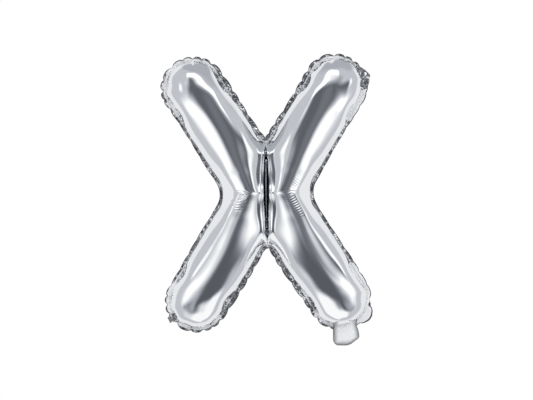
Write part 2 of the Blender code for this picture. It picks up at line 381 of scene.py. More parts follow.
front_faces = np.array([f if turned_right(f) else f[::-1] for f in triangles])
back_faces = twin[front_faces][:, ::-1]
print("shared points:", int(shared.sum()), "of", sheet_count)


# %% [markdown]
# A perfectly flat edge has no reason to ruffle one way or the other. So it starts out with a
# faint wave, strongest round the arms' ends and gone at the waist, and the rim takes it on.

# %% Seed the ruffles and add the rim
def unit(values):
    """Hold values between 0 and 1."""
    return np.clip(values, 0, 1)


edge_steps = np.linalg.norm(np.roll(edge, -1, 0) - edge, axis=1)
along = np.concatenate([[0.0], np.cumsum(edge_steps)[:-1]])
waves = round(edge_steps.sum() / RUFFLE_SEED)
at_end = unit(np.minimum(station - SEED_END[0], SEED_END[1] - station) * SEED_END[2])
at_waist = unit((station - SEED_WAIST[0]) * SEED_WAIST[1])
seed = np.sin(along / edge_steps.sum() * waves * 2 * math.pi)
seed *= at_end * SEED_AT_ENDS + (1 - at_end) * (1 - at_waist) * SEED_ELSEWHERE

flat_front = np.stack([flat[:, 0], np.zeros(sheet_count), flat[:, 1]], 1)
flat_back = flat_front[free] + [0.0, SHEETS_APART, 0.0]
flat_front[free, 1] = -SHEETS_APART
flat_front[:EDGE_COUNT, 1] = seed
outward = (outline(SHEET_EDGE, RIM_ROWS[1], EDGE_COUNTS)[0] - edge) / RIM_ROWS[1]
rim = [np.stack([edge[:, 0] + outward[:, 0] * r, seed * (1 + r / SEED_GROWS),
                 edge[:, 1] + outward[:, 1] * r], 1) for r in RIM_ROWS]
film_points = np.concatenate([flat_front, flat_back, *rim])
rim_start = sheet_count + len(free)

rim_faces = []
inner_ring = np.arange(EDGE_COUNT)
for row in range(len(RIM_ROWS)):
    outer_ring = rim_start + row * EDGE_COUNT + np.arange(EDGE_COUNT)
    a, b = inner_ring, np.roll(inner_ring, -1)
    c, d = np.roll(outer_ring, -1), outer_ring
    rim_faces += [np.stack([a, b, c], 1), np.stack([a, c, d], 1)]
    inner_ring = outer_ring
film_faces = np.concatenate([front_faces, back_faces, *rim_faces])
print("film", len(film_points), "points,", waves, "seeded ruffles,", int(gap.sum()), "points in gaps")

# %% [markdown]
# ## Blowing it up
# Blender's cloth treats anything under a few centimetres as dust, so the film is simulated
# ten times too big. Air pressure only acts on the two sheets, through a vertex group: the
# rim has no air in it. Stretching is nearly forbidden, crumpling is cheap, and the air
# drag is high so that it comes to rest in a few frames.

# %% Cloth simulation
SIM_SCALE = 10.0
SIM_FRAMES = 36
FILM_CLOTH = {
    "quality": 6,
    "mass": 0.3,
    "tension_stiffness": 120.0,
    "shear_stiffness": 120.0,
    "compression_stiffness": 60.0,
    "bending_stiffness": 0.1,
    "tension_damping": 5.0,
    "compression_damping": 5.0,
    "shear_damping": 5.0,
    "bending_damping": 0.5,
    "air_damping": 8.0,
    "use_pressure": True,
    "uniform_pressure_force": 12.0,
    "vertex_group_pressure": "air",
}

film = mesh_object("film", film_points * SIM_SCALE, film_faces)
air = film.vertex_groups.new(name="air")
air.add(list(range(rim_start)), 1.0, "REPLACE")
pick(film)
cloth = film.modifiers.new("inflate", "CLOTH")
for setting, value in FILM_CLOTH.items():
    setattr(cloth.settings, setting, value)
cloth.settings.effector_weights.gravity = 0.0
cloth.collision_settings.use_collision = False
cloth.collision_settings.use_self_collision = False
cloth.point_cache.frame_end = SIM_FRAMES + 1
bpy.context.scene.frame_end = SIM_FRAMES + 1
for number in range(1, SIM_FRAMES + 2):
    bpy.context.scene.frame_set(number)
bpy.ops.object.modifier_apply(modifier="inflate")
blown = points_of(film) / SIM_SCALE
bpy.data.objects.remove(film)
bpy.context.scene.frame_set(1)
print("blown up in", round(time.time() - START), "s, box",
      blown.min(0).round(1).tolist(), blown.max(0).round(1).tolist())

# %% [markdown]
# ## Ironing the skin
# The simulation leaves a faint wobble from one triangle to the next. On a mirror that is
# all anyone would see. So the weld line is smoothed along itself, the skin beside it is
# carried along, and the open skin is ironed: each point moves to the mean of its neighbours
# and then a little way back, which flattens ripples without shrinking the tubes.

# %% Bring the weld onto its line
WELD_BLUR = 4.0              # mm, along the weld
WELD_CALM = 0.4              # share of the weld's ruffling that is kept
REACH_FAR = 14.0             # mm, how far a shift of the weld is felt across an arm
CARRY = 6.0                  # mm, how far the skin beside the weld follows it


def blur_ring(ring, sigma, step):
    """Blur a closed ring of points along itself."""
    reach = int(4 * sigma / step)
    k = np.exp(-0.5 * (np.arange(-reach, reach + 1) * step / sigma) ** 2)
    k /= k.sum()
    return sum(w * np.roll(ring, i - reach, 0) for i, w in enumerate(k))


def drag(points, anchors, moves, reach):
    """Move points by the nearby anchors' moves, weighed by distance in the letter's plane."""
    shifts = []
    for part in np.array_split(points, 20):
        away = ((part[:, None, [0, 2]] - anchors[None, :, [0, 2]]) ** 2).sum(2)
        pull = np.exp(-away / (2 * reach ** 2)) + 1e-12
        shifts.append(pull @ moves / pull.sum(1)[:, None])
    return points + np.concatenate(shifts)


found = [edge_tree.find((p[0], p[1], 0.0))[1:] for p in flat]
nearest, from_weld = (np.array([pair[k] for pair in found]) for k in (0, 1))
nearest = np.concatenate([nearest, nearest[free]])
from_weld = np.concatenate([from_weld, from_weld[free]])
flat_x, flat_z = (np.concatenate([flat[:, k], flat[free, k]]) for k in (0, 1))

target = outline(BLOWN_EDGE, 0.0, EDGE_COUNTS)[0]
skin = blown[:rim_start].copy()
ring = blur_ring(skin[:EDGE_COUNT], WELD_BLUR, EDGE_STEP)
wanted = np.stack([target[:, 0], ring[:, 1] * WELD_CALM, target[:, 1]], 1)
moved = np.linalg.norm((wanted - skin[:EDGE_COUNT])[:, [0, 2]], axis=1)
print("weld moved by", moved.mean().round(1), "mm on average,", moved.max().round(1), "at most")
flat_move = (wanted - ring) * [1.0, 0.0, 1.0]
skin = drag(skin, ring, flat_move, REACH_FAR)
rest = wanted - skin[:EDGE_COUNT]
skin += rest[nearest] * np.exp(-from_weld / CARRY)[:, None]
skin[:EDGE_COUNT] = wanted

# %% [markdown]
# ## Slits down the middle
# Nothing in the simulation stops the two halves from passing through each other, because
# testing for that takes minutes. On the real balloon they press together at the gaps in the
# weld and part between them, in long lens-shaped slits. So each point is simply held on its
# own side, and further off where a slit is open.

# %% Keep each side of the letter on its own side
SLITS = [
    # top, bottom, half width
    (63.0, 41.0, 1.1),
    (41.0, -1.5, 1.5),
    (-1.5, -26.0, 1.2),
    (-26.0, -63.0, 0.8),
]
SLIT_DEEP = 6.0              # mm from the weld to where the slit has its full width
SLIT_SHUT = 0.2              # half width that stays open between slits
SLIT_BLUNT = 0.8             # below 1 a slit is fuller towards its ends than a sine


def slit(z):
    """Half the width of the slit between the two halves at a height."""
    half = np.full(len(z), SLIT_SHUT)
    for top, bottom, wide in SLITS:
        t = unit((z - bottom) / (top - bottom))
        half = np.maximum(half, wide * np.sin(math.pi * t) ** SLIT_BLUNT)
    return half


def keep_apart(points, side):
    """Push points that crossed the middle back to their own side."""
    room = slit(points[:, 2]) * unit(np.abs(points[:, 1]) / SLIT_DEEP)
    pushed = np.maximum(points[:, 0] * side, room) * side
    held = (side != 0) & (np.abs(points[:, 2]) < CROTCH_LOW)
    points[:, 0] = np.where(held, pushed, points[:, 0])


before = skin[:, 0].copy()
keep_apart(skin, np.sign(flat_x))
print(np.count_nonzero(before != skin[:, 0]), "points held on their own side")

# %% [markdown]
# Then the skin is ironed. The two welds hold their points, and that hold fades out over a few
# millimetres, so that no step is left beside them.

# %% Iron the open skin
IRON_PULLS = (0.5, -0.52)    # towards the neighbours, then a little more the other way
IRON_TURNS = 200
WELD_GRIP = 4.0              # mm from the weld where the skin is ironed in full
MIDDLE_GRIP = (1.0, 5.0)     # from the middle: where ironing starts, and the way to full


def iron(points, edges, loose, line, turns):
    """Smooth points where loose is above 0, and undo the shrinking that comes with it.
    Points on the line are smoothed along it alone, so it stays a crease."""
    give = np.concatenate([edges[:, 0], edges[:, 1]])
    take = np.concatenate([edges[:, 1], edges[:, 0]])
    kept = ~line[take] | line[give]
    give, take = give[kept], take[kept]
    count = len(points)
    degree = np.maximum(np.bincount(take, minlength=count), 1)[:, None]
    for turn in range(turns):
        for pull in IRON_PULLS:
            mean = np.stack([np.bincount(take, points[give, k], count) for k in range(3)], 1)
            points = points + pull * loose[:, None] * (mean / degree - points)
    return points


def edges_of(faces):
    """Each edge of some triangles once, as two point numbers."""
    pairs = np.concatenate([faces[:, [0, 1]], faces[:, [1, 2]], faces[:, [2, 0]]])
    return np.unique(np.sort(pairs, axis=1), axis=0)


skin_edges = edges_of(np.concatenate([front_faces, back_faces]))
loose = unit(from_weld / WELD_GRIP) * unit((np.abs(flat_x) - MIDDLE_GRIP[0]) / MIDDLE_GRIP[1])
skin = iron(skin, skin_edges, loose, np.zeros(rim_start, bool), IRON_TURNS)
print("skin depth", round(skin[:, 1].max() - skin[:, 1].min(), 1), "mm")

# %% [markdown]
# ## The fold at the waist
# An arm is a straight tube, and at half height two of them meet at an angle. Film can't
# stretch round that corner, so each tube runs on straight and they meet in one sharp fold.
# The simulation's points are too far apart for that: it makes a soft dent. So the stretch
# beside the waist is drawn again, by running the two tubes on until they meet.

# %% Sizes of the fold
FOLD_HIGH = 26.0             # mm of the pattern above and below half height, drawn again
FOLD_FROM = 46.0             # the tube's direction is read between this height and that one
FOLD_ROUND = 0.70            # share of the way across where the rounded edge takes over
RIDGE_OUT = 5.0              # mm that the ridge lies further out at the waist
RIDGE_FADE = 70.0            # height where that has died out
RIDGE_GRIP = 6.0             # mm from the weld where it is felt in full
CREASE_FROM = 3.0            # mm from the weld where the fold's line begins
CREASE_TURNS = 12            # ironing after the fold, all over
RIM_TURNS = 60               # ironing after the fold, beside the rim alone
RIM_SHARE = (0.58, 6.0)      # share of the way across where that begins, and how fast it grows
RIM_HEIGHT = (20.0, 8.0)     # height where it stops, and the way to full
OFF_MIDDLE = 0.5             # mm, so the middle weld stays where it is
ACROSS = np.linspace(0, 1, 61)
HEIGHTS = np.linspace(0.01, 60.0, 121)


def half_width(loop, heights):
    """Half width of an outline at some heights near the waist."""
    after = np.roll(loop, -1, 0)
    widths = []
    for h in heights:
        cuts = (loop[:, 1] > h) != (after[:, 1] > h)
        a, b = loop[cuts], after[cuts]
        widths.append((a[:, 0] + (b[:, 0] - a[:, 0]) * (h - a[:, 1]) / (b[:, 1] - a[:, 1])).max())
    return np.array(widths)


sheet_widths = half_width(edge, HEIGHTS)
blown_widths = half_width(target, HEIGHTS)
flat_spots = [Vector((x, z, 0.0)) for x, z in zip(flat_x, flat_z)]
print("half the waist", sheet_widths[0].round(1), "mm flat and", blown_widths[0].round(1), "mm blown")


# %% [markdown]
# A line across a tube is read off the simulated skin at two heights. The difference between
# them is the way the tube runs, and along that way the line is carried on to half height. The
# fold is the mean of what the upper and the lower tube give. Towards the rim the simulated
# skin stays as it is.

# %% Run the tubes on to the waist
def ease(t):
    """Turn a steady rise from 0 to 1 into one with a soft start and a soft end."""
    return t * t * (3 - 2 * t)


def across_at(tree, faces, side_x, height):
    """Where the points of one line across a tube went, from the middle to the edge."""
    wide = np.interp(abs(height), HEIGHTS, sheet_widths)
    row = []
    for t in ACROSS:
        spot, _, face, _ = tree.find_nearest(Vector((side_x * t * wide, height, 0.0)))
        flat_corners = [flat_spots[i] for i in faces[face]]
        blown_corners = [Vector(skin[i]) for i in faces[face]]
        row.append(barycentric_transform(spot, *flat_corners, *blown_corners))
    row = np.pad(np.array(row), ((2, 2), (0, 0)), "edge")
    return sum(row[k:k + len(ACROSS)] for k in range(5)) / 5


def run_on(faces):
    """New places for one sheet's points beside the waist."""
    tree = BVHTree.FromPolygons(flat_spots, faces.tolist())
    used = np.unique(faces)
    off_middle = np.abs(flat_x[used]) > OFF_MIDDLE
    beside = (np.abs(flat_z[used]) < FOLD_HIGH) & off_middle & (used >= EDGE_COUNT)
    run = FOLD_HIGH / (FOLD_FROM - FOLD_HIGH)
    for side_x in (1, -1):
        near, meet = {}, {}
        for side_z in (1, -1):
            near[side_z] = across_at(tree, faces, side_x, side_z * FOLD_HIGH)
            far = across_at(tree, faces, side_x, side_z * FOLD_FROM)
            meet[side_z] = near[side_z] + (near[side_z] - far) * run
        fold = (meet[1] + meet[-1]) / 2 * [1, 1, 0]
        for side_z in (1, -1):
            mine = used[beside & (flat_x[used] * side_x > 0) & ((flat_z[used] >= 0) == (side_z > 0))]
            t = np.abs(flat_x[mine]) / np.interp(np.abs(flat_z[mine]), HEIGHTS, sheet_widths)
            share = (FOLD_HIGH - np.abs(flat_z[mine]))[:, None] / FOLD_HIGH
            start, end = (np.stack([np.interp(t, ACROSS, row[:, k]) for k in range(3)], 1)
                          for row in (near[side_z], fold))
            stays = ease(unit((t - FOLD_ROUND) / (1 - FOLD_ROUND)))[:, None]
            drawn[mine] = (start + (end - start) * share) * (1 - stays) + skin[mine] * stays


# %% [markdown]
# Once the fold is drawn, the ridge beside it is moved out a little, because the air presses
# it there. Then comes more ironing: a little all over, with the fold smoothed along its line
# alone, and more beside the rim.

# %% Draw the fold
drawn = skin.copy()
run_on(front_faces)
run_on(back_faces)
print("points drawn again:", int((drawn != skin).any(axis=1).sum()))
skin = drawn
share = np.abs(skin[:, 0]) / np.interp(np.abs(skin[:, 2]), HEIGHTS, blown_widths)
fade = ease(unit(1 - np.abs(skin[:, 2]) / RIDGE_FADE)) * unit(from_weld / RIDGE_GRIP)
skin[:, 0] += np.sign(flat_x) * RIDGE_OUT * np.sin(math.pi * unit(share)) * fade
crease = (np.abs(flat_z) < EDGE_STEP / 2) & (from_weld > CREASE_FROM)
skin = iron(skin, skin_edges, loose, crease, CREASE_TURNS)
beside_rim = unit((share - RIM_SHARE[0]) * RIM_SHARE[1])
beside_rim *= unit((RIM_HEIGHT[0] - np.abs(skin[:, 2])) / RIM_HEIGHT[1])
skin = iron(skin, skin_edges, loose * beside_rim, np.zeros(rim_start, bool), RIM_TURNS)
print("fold at the waist", round(np.abs(skin[crease][:, 1]).max(), 1), "mm off the middle plane")

# %% [markdown]
# ## Front foil and back foil
# The skin is split into the two sheets it was made from. Each is subdivided once and ironed
# again, so that its reflections run clean. Every point also keeps where it lies on the flat
# pattern: how far along the weld and how far from it. The gathers are drawn with these
# numbers, in the mesh here and in the finish later.

# %% Make the two sheets
SHEET_THICK = 0.12           # mm
SHEET_GRIP = (0.4, 4.0)      # from the weld: where the second ironing starts, the way to full
SHEET_MIDDLE_GRIP = (0.5, 3.0)
SHEET_TURNS = 14


def keep(ob, label, values):
    """Keep one number for each point, under a label."""
    kept = ob.data.attributes.new(label, "FLOAT", "POINT")
    kept.data.foreach_set("value", np.asarray(values, np.float32))


def read(ob, label):
    """Read the numbers that keep() left."""
    return fetch(ob.data.attributes[label].data, "value")


def sheet_object(name, faces):
    """One foil sheet as a mesh with its pattern map, still an open surface."""
    used = np.unique(faces)
    new_index = np.full(rim_start, -1)
    new_index[used] = np.arange(len(used))
    ob = mesh_object(name, skin[used], new_index[faces])
    for label, values in (("along", along[nearest]), ("off", from_weld), ("half", flat_x),
                          ("high", flat_z), ("where", station[nearest])):
        keep(ob, label, values[used])
    return ob


front_foil = sheet_object("front_foil", front_faces)
back_foil = sheet_object("back_foil", back_faces)
foils = (front_foil, back_foil)
print("sheets of", [len(foil.data.polygons) for foil in foils], "triangles")


# %% [markdown]
# Subdividing leaves the new points on the flat triangles they were cut from. Ironing rounds
# the skin between them, and once more the fold is smoothed along its line alone.

# %% Subdivide and iron
def subdivide(ob, chosen=None):
    """Subdivide all faces, or those whose vertices are all chosen."""
    pick(ob)
    bpy.ops.object.mode_set(mode="EDIT")
    bpy.ops.mesh.select_mode(type="VERT")
    bpy.ops.mesh.select_all(action="SELECT" if chosen is None else "DESELECT")
    bpy.ops.object.mode_set(mode="OBJECT")
    if chosen is not None:
        ob.data.vertices.foreach_set("select", chosen)
        for poly in ob.data.polygons:
            poly.select = all(chosen[v] for v in poly.vertices)
    bpy.ops.object.mode_set(mode="EDIT")
    bpy.ops.mesh.select_mode(type="FACE")
    bpy.ops.mesh.subdivide(number_cuts=1)
    bpy.ops.object.mode_set(mode="OBJECT")


for foil in foils:
    subdivide(foil)
    off, half = read(foil, "off"), np.abs(read(foil, "half"))
    loose = unit((off - SHEET_GRIP[0]) / SHEET_GRIP[1])
    loose *= unit((half - SHEET_MIDDLE_GRIP[0]) / SHEET_MIDDLE_GRIP[1])
    line = np.abs(read(foil, "high")) < EDGE_STEP / 2 - 0.01
    edges = fetch(foil.data.edges, "vertices", 2, np.int32)
    put_points(foil, iron(points_of(foil), edges, loose, line, SHEET_TURNS))
    print(foil.name, len(foil.data.polygons), "triangles")

# %% [markdown]
# ## Gathers
# The weld is shorter than the skin it holds, so the skin bunches into small gathers all
# along it, deepest round the arms' ends. The simulation's triangles are too large for them.
# So the faces beside the weld are subdivided once more, and each point gets a small push
# along the surface's own normal. The long fine gathers further in are left to the finish,
# which finds their strength in a number kept on the points.

# %% Gather the skin beside the weld
GATHER_HIGH = 0.32           # mm
GATHER_PITCH = 4.3           # mm from one to the next
GATHER_PEAK = 1.6            # mm from the weld where they are highest
GATHER_DEEP = 3.0            # mm over which they die out from there
GATHER_WANDER = ((0.8, 0.13, 0.0), (0.5, 0.31, 1.0))        # size, how fast, start
GATHER_BY_STATION = ((0, 0.3, 1, 1.4, 2.6, 3, 3.6, 4), (1, 0.6, 0.5, 1, 1, 0.5, 0.2, 0.1))
FINE_REACH = 15.0            # mm in from the weld where the last fine gathers die out
FINE_START = 1.5
FINE_BY_STATION = ((0, 0.4, 0.9, 1.2, 2.8, 3.1, 4), (0.8, 0.45, 0.6, 1, 1, 0.45, 0.15))


def push_out(ob, heights):
    """Move each point along the surface's own normal."""
    put_points(ob, points_of(ob) + fetch(ob.data.vertices, "normal", 3) * heights[:, None])


def gathers(ob):
    """Ripples that run away from the weld and die out a few millimetres in."""
    u, off, where = read(ob, "along"), read(ob, "off"), read(ob, "where")
    wander = sum(size * np.sin(u * fast + start) for size, fast, start in GATHER_WANDER)
    wave = np.sin(2 * math.pi * u / GATHER_PITCH + wander * 2)
    amount = np.interp(where, *GATHER_BY_STATION)
    fade = np.exp(-((off - GATHER_PEAK) / GATHER_DEEP) ** 2) * unit(off)
    push_out(ob, GATHER_HIGH * wave * amount * fade)


def gather_share(ob):
    """How strongly the finish draws the long fine gathers that run in from the weld."""
    off, where = read(ob, "off"), read(ob, "where")
    amount = np.interp(where, *FINE_BY_STATION)
    keep(ob, "gather", amount * unit(off / FINE_START) * unit(1 - off / FINE_REACH) ** 1.5)


for foil in foils:
    subdivide(foil, read(foil, "off") < GATHER_DEEP)
    gathers(foil)
    gather_share(foil)
    print(foil.name, "with gathers", len(foil.data.polygons), "faces")


# %% [markdown]
# ## Ripples beside the fold
# Where the tubes bend, the film that is left over on the inner side of the bend goes into
# short rows of parallel ripples, most of them in the lower right arm. A row is a sine wave
# inside a window that fades at its ends.

# %% Ripples
RIPPLES = [
    # x, z, direction in degrees, pitch, half run, half length, height
    (37.0, -14.0, -58.0, 2.9, 16.0, 9.0, 0.12),
    (35.0, 10.0, 58.0, 2.5, 6.0, 5.0, 0.10),
    (-31.0, -13.0, -76.0, 2.9, 7.0, 10.0, 0.13),
    (-44.0, -8.0, -70.0, 3.4, 6.0, 8.0, 0.12),
    (30.0, 0.0, 90.0, 2.2, 3.6, 16.0, 0.17),
    (-34.0, 1.0, 90.0, 2.4, 3.6, 17.0, 0.16),
]
RIPPLE_BOW = 0.03            # how fast a ripple bends away from a straight line
RIPPLE_FADE = 0.7            # below 1 a ripple keeps its height longer


def ripples(ob):
    """Short rows of parallel ripples: each runs a little way, and fades at its ends."""
    points = points_of(ob)
    push = np.zeros(len(points))
    for x, z, turn, pitch, half_run, half_long, high in RIPPLES:
        way = np.array([math.cos(math.radians(turn)), math.sin(math.radians(turn))])
        off = points[:, [0, 2]] - [x, z]
        run, side = off @ way, off @ [-way[1], way[0]]
        window = unit(1 - (run / half_run) ** 2) * unit(1 - (side / half_long) ** 2)
        bowed = run + RIPPLE_BOW * side ** 2
        push += high * window ** RIPPLE_FADE * np.sin(2 * math.pi * bowed / pitch)
    push_out(ob, push)


for foil in foils:
    spots = points_of(foil)
    near_fold = np.zeros(len(spots), bool)
    for x, z, turn, pitch, half_run, half_long, high in RIPPLES:
        near_fold |= np.hypot(spots[:, 0] - x, spots[:, 2] - z) < max(half_run, half_long)
    subdivide(foil, near_fold)
    ripples(foil)
    print(foil.name, "with ripples", len(foil.data.polygons), "faces")

# %% [markdown]
# ## The rim
# Outside the weld runs a rim of doubled film, 6 mm wide. It holds no air and keeps its
# length, while the weld under it has been pulled in, so it stands in ruffles: wide round
# lobes with tight folds between them at the arms' ends, long flat stretches on the straight
# edges. It is built as strips that leave the weld in the middle plane and tip over,
# forwards and backwards in turn. Beside the weld the rim is smooth and pale. Further out
# the sealing bar has crumpled it into facets, except on the ends' outer sides and beside
# the neck, where the pale film reaches nearly to the cut. The facets' dark colour is
# painted shade, and their light tops are painted highlights.

# %% Rim sizes along the edge
RIM_TABLE = [
    # station, lobe length, width, share of it left between lobes, lean back, twist between lobes,
    # share of the width that is smooth and pale
    (0.0, 12.0, 6.0, 0.75, 4.0, 18.0, 0.25),
    (0.2, 16.0, 6.0, 0.75, 4.0, 20.0, 0.22),
    (0.6, 21.0, 5.9, 0.72, 4.0, 24.0, 0.12),
    (0.95, 18.0, 5.8, 0.60, 6.0, 30.0, 0.16),
    (1.25, 13.5, 5.8, 0.55, 8.0, 40.0, 0.52),
    (2.75, 12.5, 5.8, 0.55, 8.0, 40.0, 0.52),
    (3.1, 17.0, 4.8, 0.75, 14.0, 26.0, 0.36),
    (3.4, 26.0, 4.2, 0.82, 10.0, 14.0, 0.26),
    (4.0, 30.0, 4.0, 0.95, 8.0, 5.0, 0.22),
]
LOBE_BLUNT = 0.55            # below 1 the lobes are rounder and the folds between them tighter
CALM_CUSP = 0.94             # share of the width left between lobes on a calm stretch
ARC_FADE = 5.0               # degrees over which a pale or calm stretch begins and ends
RIM_STEPS = (0.0, 0.14, 0.3, 0.48, 0.66, 0.84, 1.0)
RIM_TUCK = 0.6               # mm that the rim starts inside the weld line
RIM_THICK = 0.3
FLAPS = [
    # side x, side z, angle, half width in degrees, extra width: one beside the neck
    (1, -1, -34.0, 18.0, 6.4),
]
FLAP_BLUNT = 0.7
PALE = [
    # side x, side z, from angle, to angle, share of the width that is smooth and pale, calmness
    (1, -1, -101.0, -14.0, 0.89, 1.0),
    (1, -1, -14.0, 75.0, 0.80, 0.0),
    (1, 1, -75.0, 2.0, 0.84, 0.5),
    (-1, 1, 25.0, 88.0, 0.80, 0.0),
    (-1, -1, -60.0, 40.0, 0.74, 0.0),
]
print("rim described at", len(RIM_TABLE), "stations, pale on", len(PALE), "stretches")


# %% [markdown]
# The rim follows the weld, with one more point between each two. Its lobes are counted off
# along the way, longer or shorter as the table says, and all of them are stretched a little
# so that an even number goes round.

# %% Lobes along the rim
LOBE_UNEVEN = (0.3, 0.09)    # share by which lobe lengths vary, and how fast along the edge
WIDTH_UNEVEN = (0.12, 0.061)
HEADING_BLUR = 2.0           # mm, so the rim's direction doesn't jump from point to point


def rim_column(k):
    """One column of the table, looked up by station."""
    table = np.array(RIM_TABLE)
    return lambda s: np.interp(s, table[:, 0], table[:, k])


lobe_at, width_at, cusp_at, lean_at, twist_at, pale_at = (rim_column(k) for k in range(1, 7))


def refine_ring(ring, times):
    """A closed ring with extra points on a smooth curve between its own."""
    n = len(ring)
    t = np.arange(n * times) / times
    base = t.astype(int)
    f = (t - base)[:, None]
    p0, p1, p2, p3 = (ring[(base + k) % n] for k in (-1, 0, 1, 2))
    return 0.5 * (2 * p1 + (p2 - p0) * f + (2 * p0 - 5 * p1 + 4 * p2 - p3) * f ** 2
                  + (3 * p1 - p0 - 3 * p2 + p3) * f ** 3)


ring = refine_ring(np.column_stack([skin[:EDGE_COUNT], station]), 2)
ring, ring_station = ring[:, :3], np.clip(ring[:, 3], 0, 4)
ring_step = np.linalg.norm(np.roll(ring, -1, 0) - ring, axis=1)
ring_along = np.concatenate([[0.0], np.cumsum(ring_step)[:-1]])
heading = blur_ring(np.roll(ring, -1, 0) - np.roll(ring, 1, 0), HEADING_BLUR, ring_step.mean())
heading[:, 1] = 0.0
heading /= np.linalg.norm(heading, axis=1)[:, None]
rim_out = np.stack([-heading[:, 2], np.zeros(len(ring)), heading[:, 0]], 1)
uneven = 1 + LOBE_UNEVEN[0] * np.sin(ring_along * LOBE_UNEVEN[1])
lobe_step = ring_step / lobe_at(ring_station) * uneven
phase = np.cumsum(lobe_step)
phase *= 2 * round(phase[-1] / 2) / phase[-1]
lobe = np.abs(np.sin(math.pi * phase)) ** LOBE_BLUNT
print("rim", round(ring_along[-1]), "mm round,", round(phase[-1]), "lobes")

# %% [markdown]
# Some stretches of the arms' ends differ in the photograph: pale nearly to the cut, calm, or
# drawn out into a flap. They are found by their angle round the end's centre.

# %% Pale, calm and wide stretches
END_STATIONS = (0.8, 3.2)    # an arm's end, with a little of the straight edges beside it
end_angle = np.degrees(np.arctan2(np.abs(ring[:, 2]) - BLOWN_EDGE["end"][1],
                                  np.abs(ring[:, 0]) - BLOWN_EDGE["end"][0]))


def on_end(side_x, side_z):
    """Which points lie on one arm's end and just beside it, and each point's angle there."""
    mine = (np.sign(ring[:, 0]) == side_x) & (np.sign(ring[:, 2]) == side_z)
    mine &= (ring_station > END_STATIONS[0]) & (ring_station < END_STATIONS[1])
    return mine, end_angle * side_z


calm = np.zeros(len(ring))
pale = pale_at(ring_station)
for side_x, side_z, start, stop, pale_share, calm_share in PALE:
    mine, angle = on_end(side_x, side_z)
    inside_arc = np.where(mine, unit(np.minimum(angle - start, stop - angle) / ARC_FADE), 0.0)
    calm = np.maximum(calm, inside_arc * calm_share)
    pale = np.maximum(pale, inside_arc * pale_share)
twist = twist_at(ring_station) * np.cos(math.pi * phase) ** 3 * (1 - calm)
tilt = np.radians(lean_at(ring_station) + twist)
cusp = cusp_at(ring_station)
cusp += (CALM_CUSP - cusp) * calm
uneven = 1 + WIDTH_UNEVEN[0] * np.sin(ring_along * WIDTH_UNEVEN[1] + 1)
width = width_at(ring_station) * (cusp + (1 - cusp) * lobe) * uneven
for side_x, side_z, middle_angle, half, more in FLAPS:
    mine, angle = on_end(side_x, side_z)
    off_angle = np.clip((angle - middle_angle) / half, -1, 1)
    width += np.where(mine, more * np.cos(off_angle * math.pi / 2) ** FLAP_BLUNT, 0.0)
print("rim", round(float(width.min()), 1), "to", round(float(width.max()), 1), "mm wide")

# %% [markdown]
# Now each point of the weld has a width, a tilt and a lobe. The rim is laid in steps: each goes
# a share of the width outwards and tips over further, until the tilt is reached.

# %% Build the rim
TIP_FAST = 1.6               # the rim has tipped over in full before half of its width is left


def ring_quads(rings, count):
    """Faces of a strip that goes round in rings, each with the same count of points."""
    start = (np.arange(rings - 1) * count)[:, None]
    a = (start + np.arange(count)).ravel()
    b = (start + (np.arange(count) + 1) % count).ravel()
    return np.stack([a, b, b + count, a + count], 1)


strip_rows = []
place = ring - rim_out * RIM_TUCK
last = 0.0
for step in RIM_STEPS:
    bend = tilt * min(1.0, step * TIP_FAST)
    reach = ((step - last) * width)[:, None]
    last = step
    place = place + reach * (rim_out * np.cos(bend)[:, None]
                             + np.array([0.0, 1.0, 0.0]) * np.sin(bend)[:, None])
    strip_rows.append(place)
seam_band = mesh_object("seam_band", np.concatenate(strip_rows),
                        ring_quads(len(RIM_STEPS), len(ring)))
print("rim", len(seam_band.data.polygons), "quads")

# %% [markdown]
# ## Walls and shading
# Foil has almost no thickness, but every piece needs a closed surface. So each sheet gets a
# thin wall on its inner side, and the rim gets one on both sides. The wall goes on last:
# smoothing after it would mix its two faces up. The rim also keeps how much of its width is
# pale, and a map with V from 0 at the weld to 1 at the cut.

# %% Give every sheet its wall
def wall(ob, thick, offset):
    """A thin closed wall from an open sheet, shaded smooth."""
    solid = ob.modifiers.new("wall", "SOLIDIFY")
    solid.thickness = thick * MM
    solid.offset = offset
    solid.use_rim = True
    apply_all(ob)
    bpy.ops.object.shade_smooth()


def pattern_map(ob, u, v):
    """A UV map in metres from two numbers for each point: along the weld, and away from it."""
    layer = ob.data.uv_layers.new(name="pattern")
    corner = fetch(ob.data.loops, "vertex_index", 1, np.int32)
    layer.data.foreach_set("uv", np.stack([u[corner], v[corner]], 1).astype(np.float32).ravel())


for foil in foils:
    pattern_map(foil, read(foil, "along") * MM, read(foil, "off") * MM)
    wall(foil, SHEET_THICK, -1.0)
keep(seam_band, "pale", np.tile(pale, len(RIM_STEPS)))
pattern_map(seam_band, np.tile(ring_along, len(RIM_STEPS)) * MM, np.repeat(RIM_STEPS, len(ring)))
wall(seam_band, RIM_THICK, 0.0)
print("walls on", [ob.name for ob in (*foils, seam_band)])

# %% [markdown]
# ## Filling neck
# Under the lower right arm the two sheets run on into a neck about 30 mm wide, cut off at a
# slant. A straw goes in there, and a thin film inside it shuts again by itself. Air that
# is caught between the layers leaves the neck slightly puffed. Each layer starts as a grid,
# whose points are moved between the neck's two edges and bulged forwards or backwards. They
# also keep how near a sealed edge they are, for the finish.

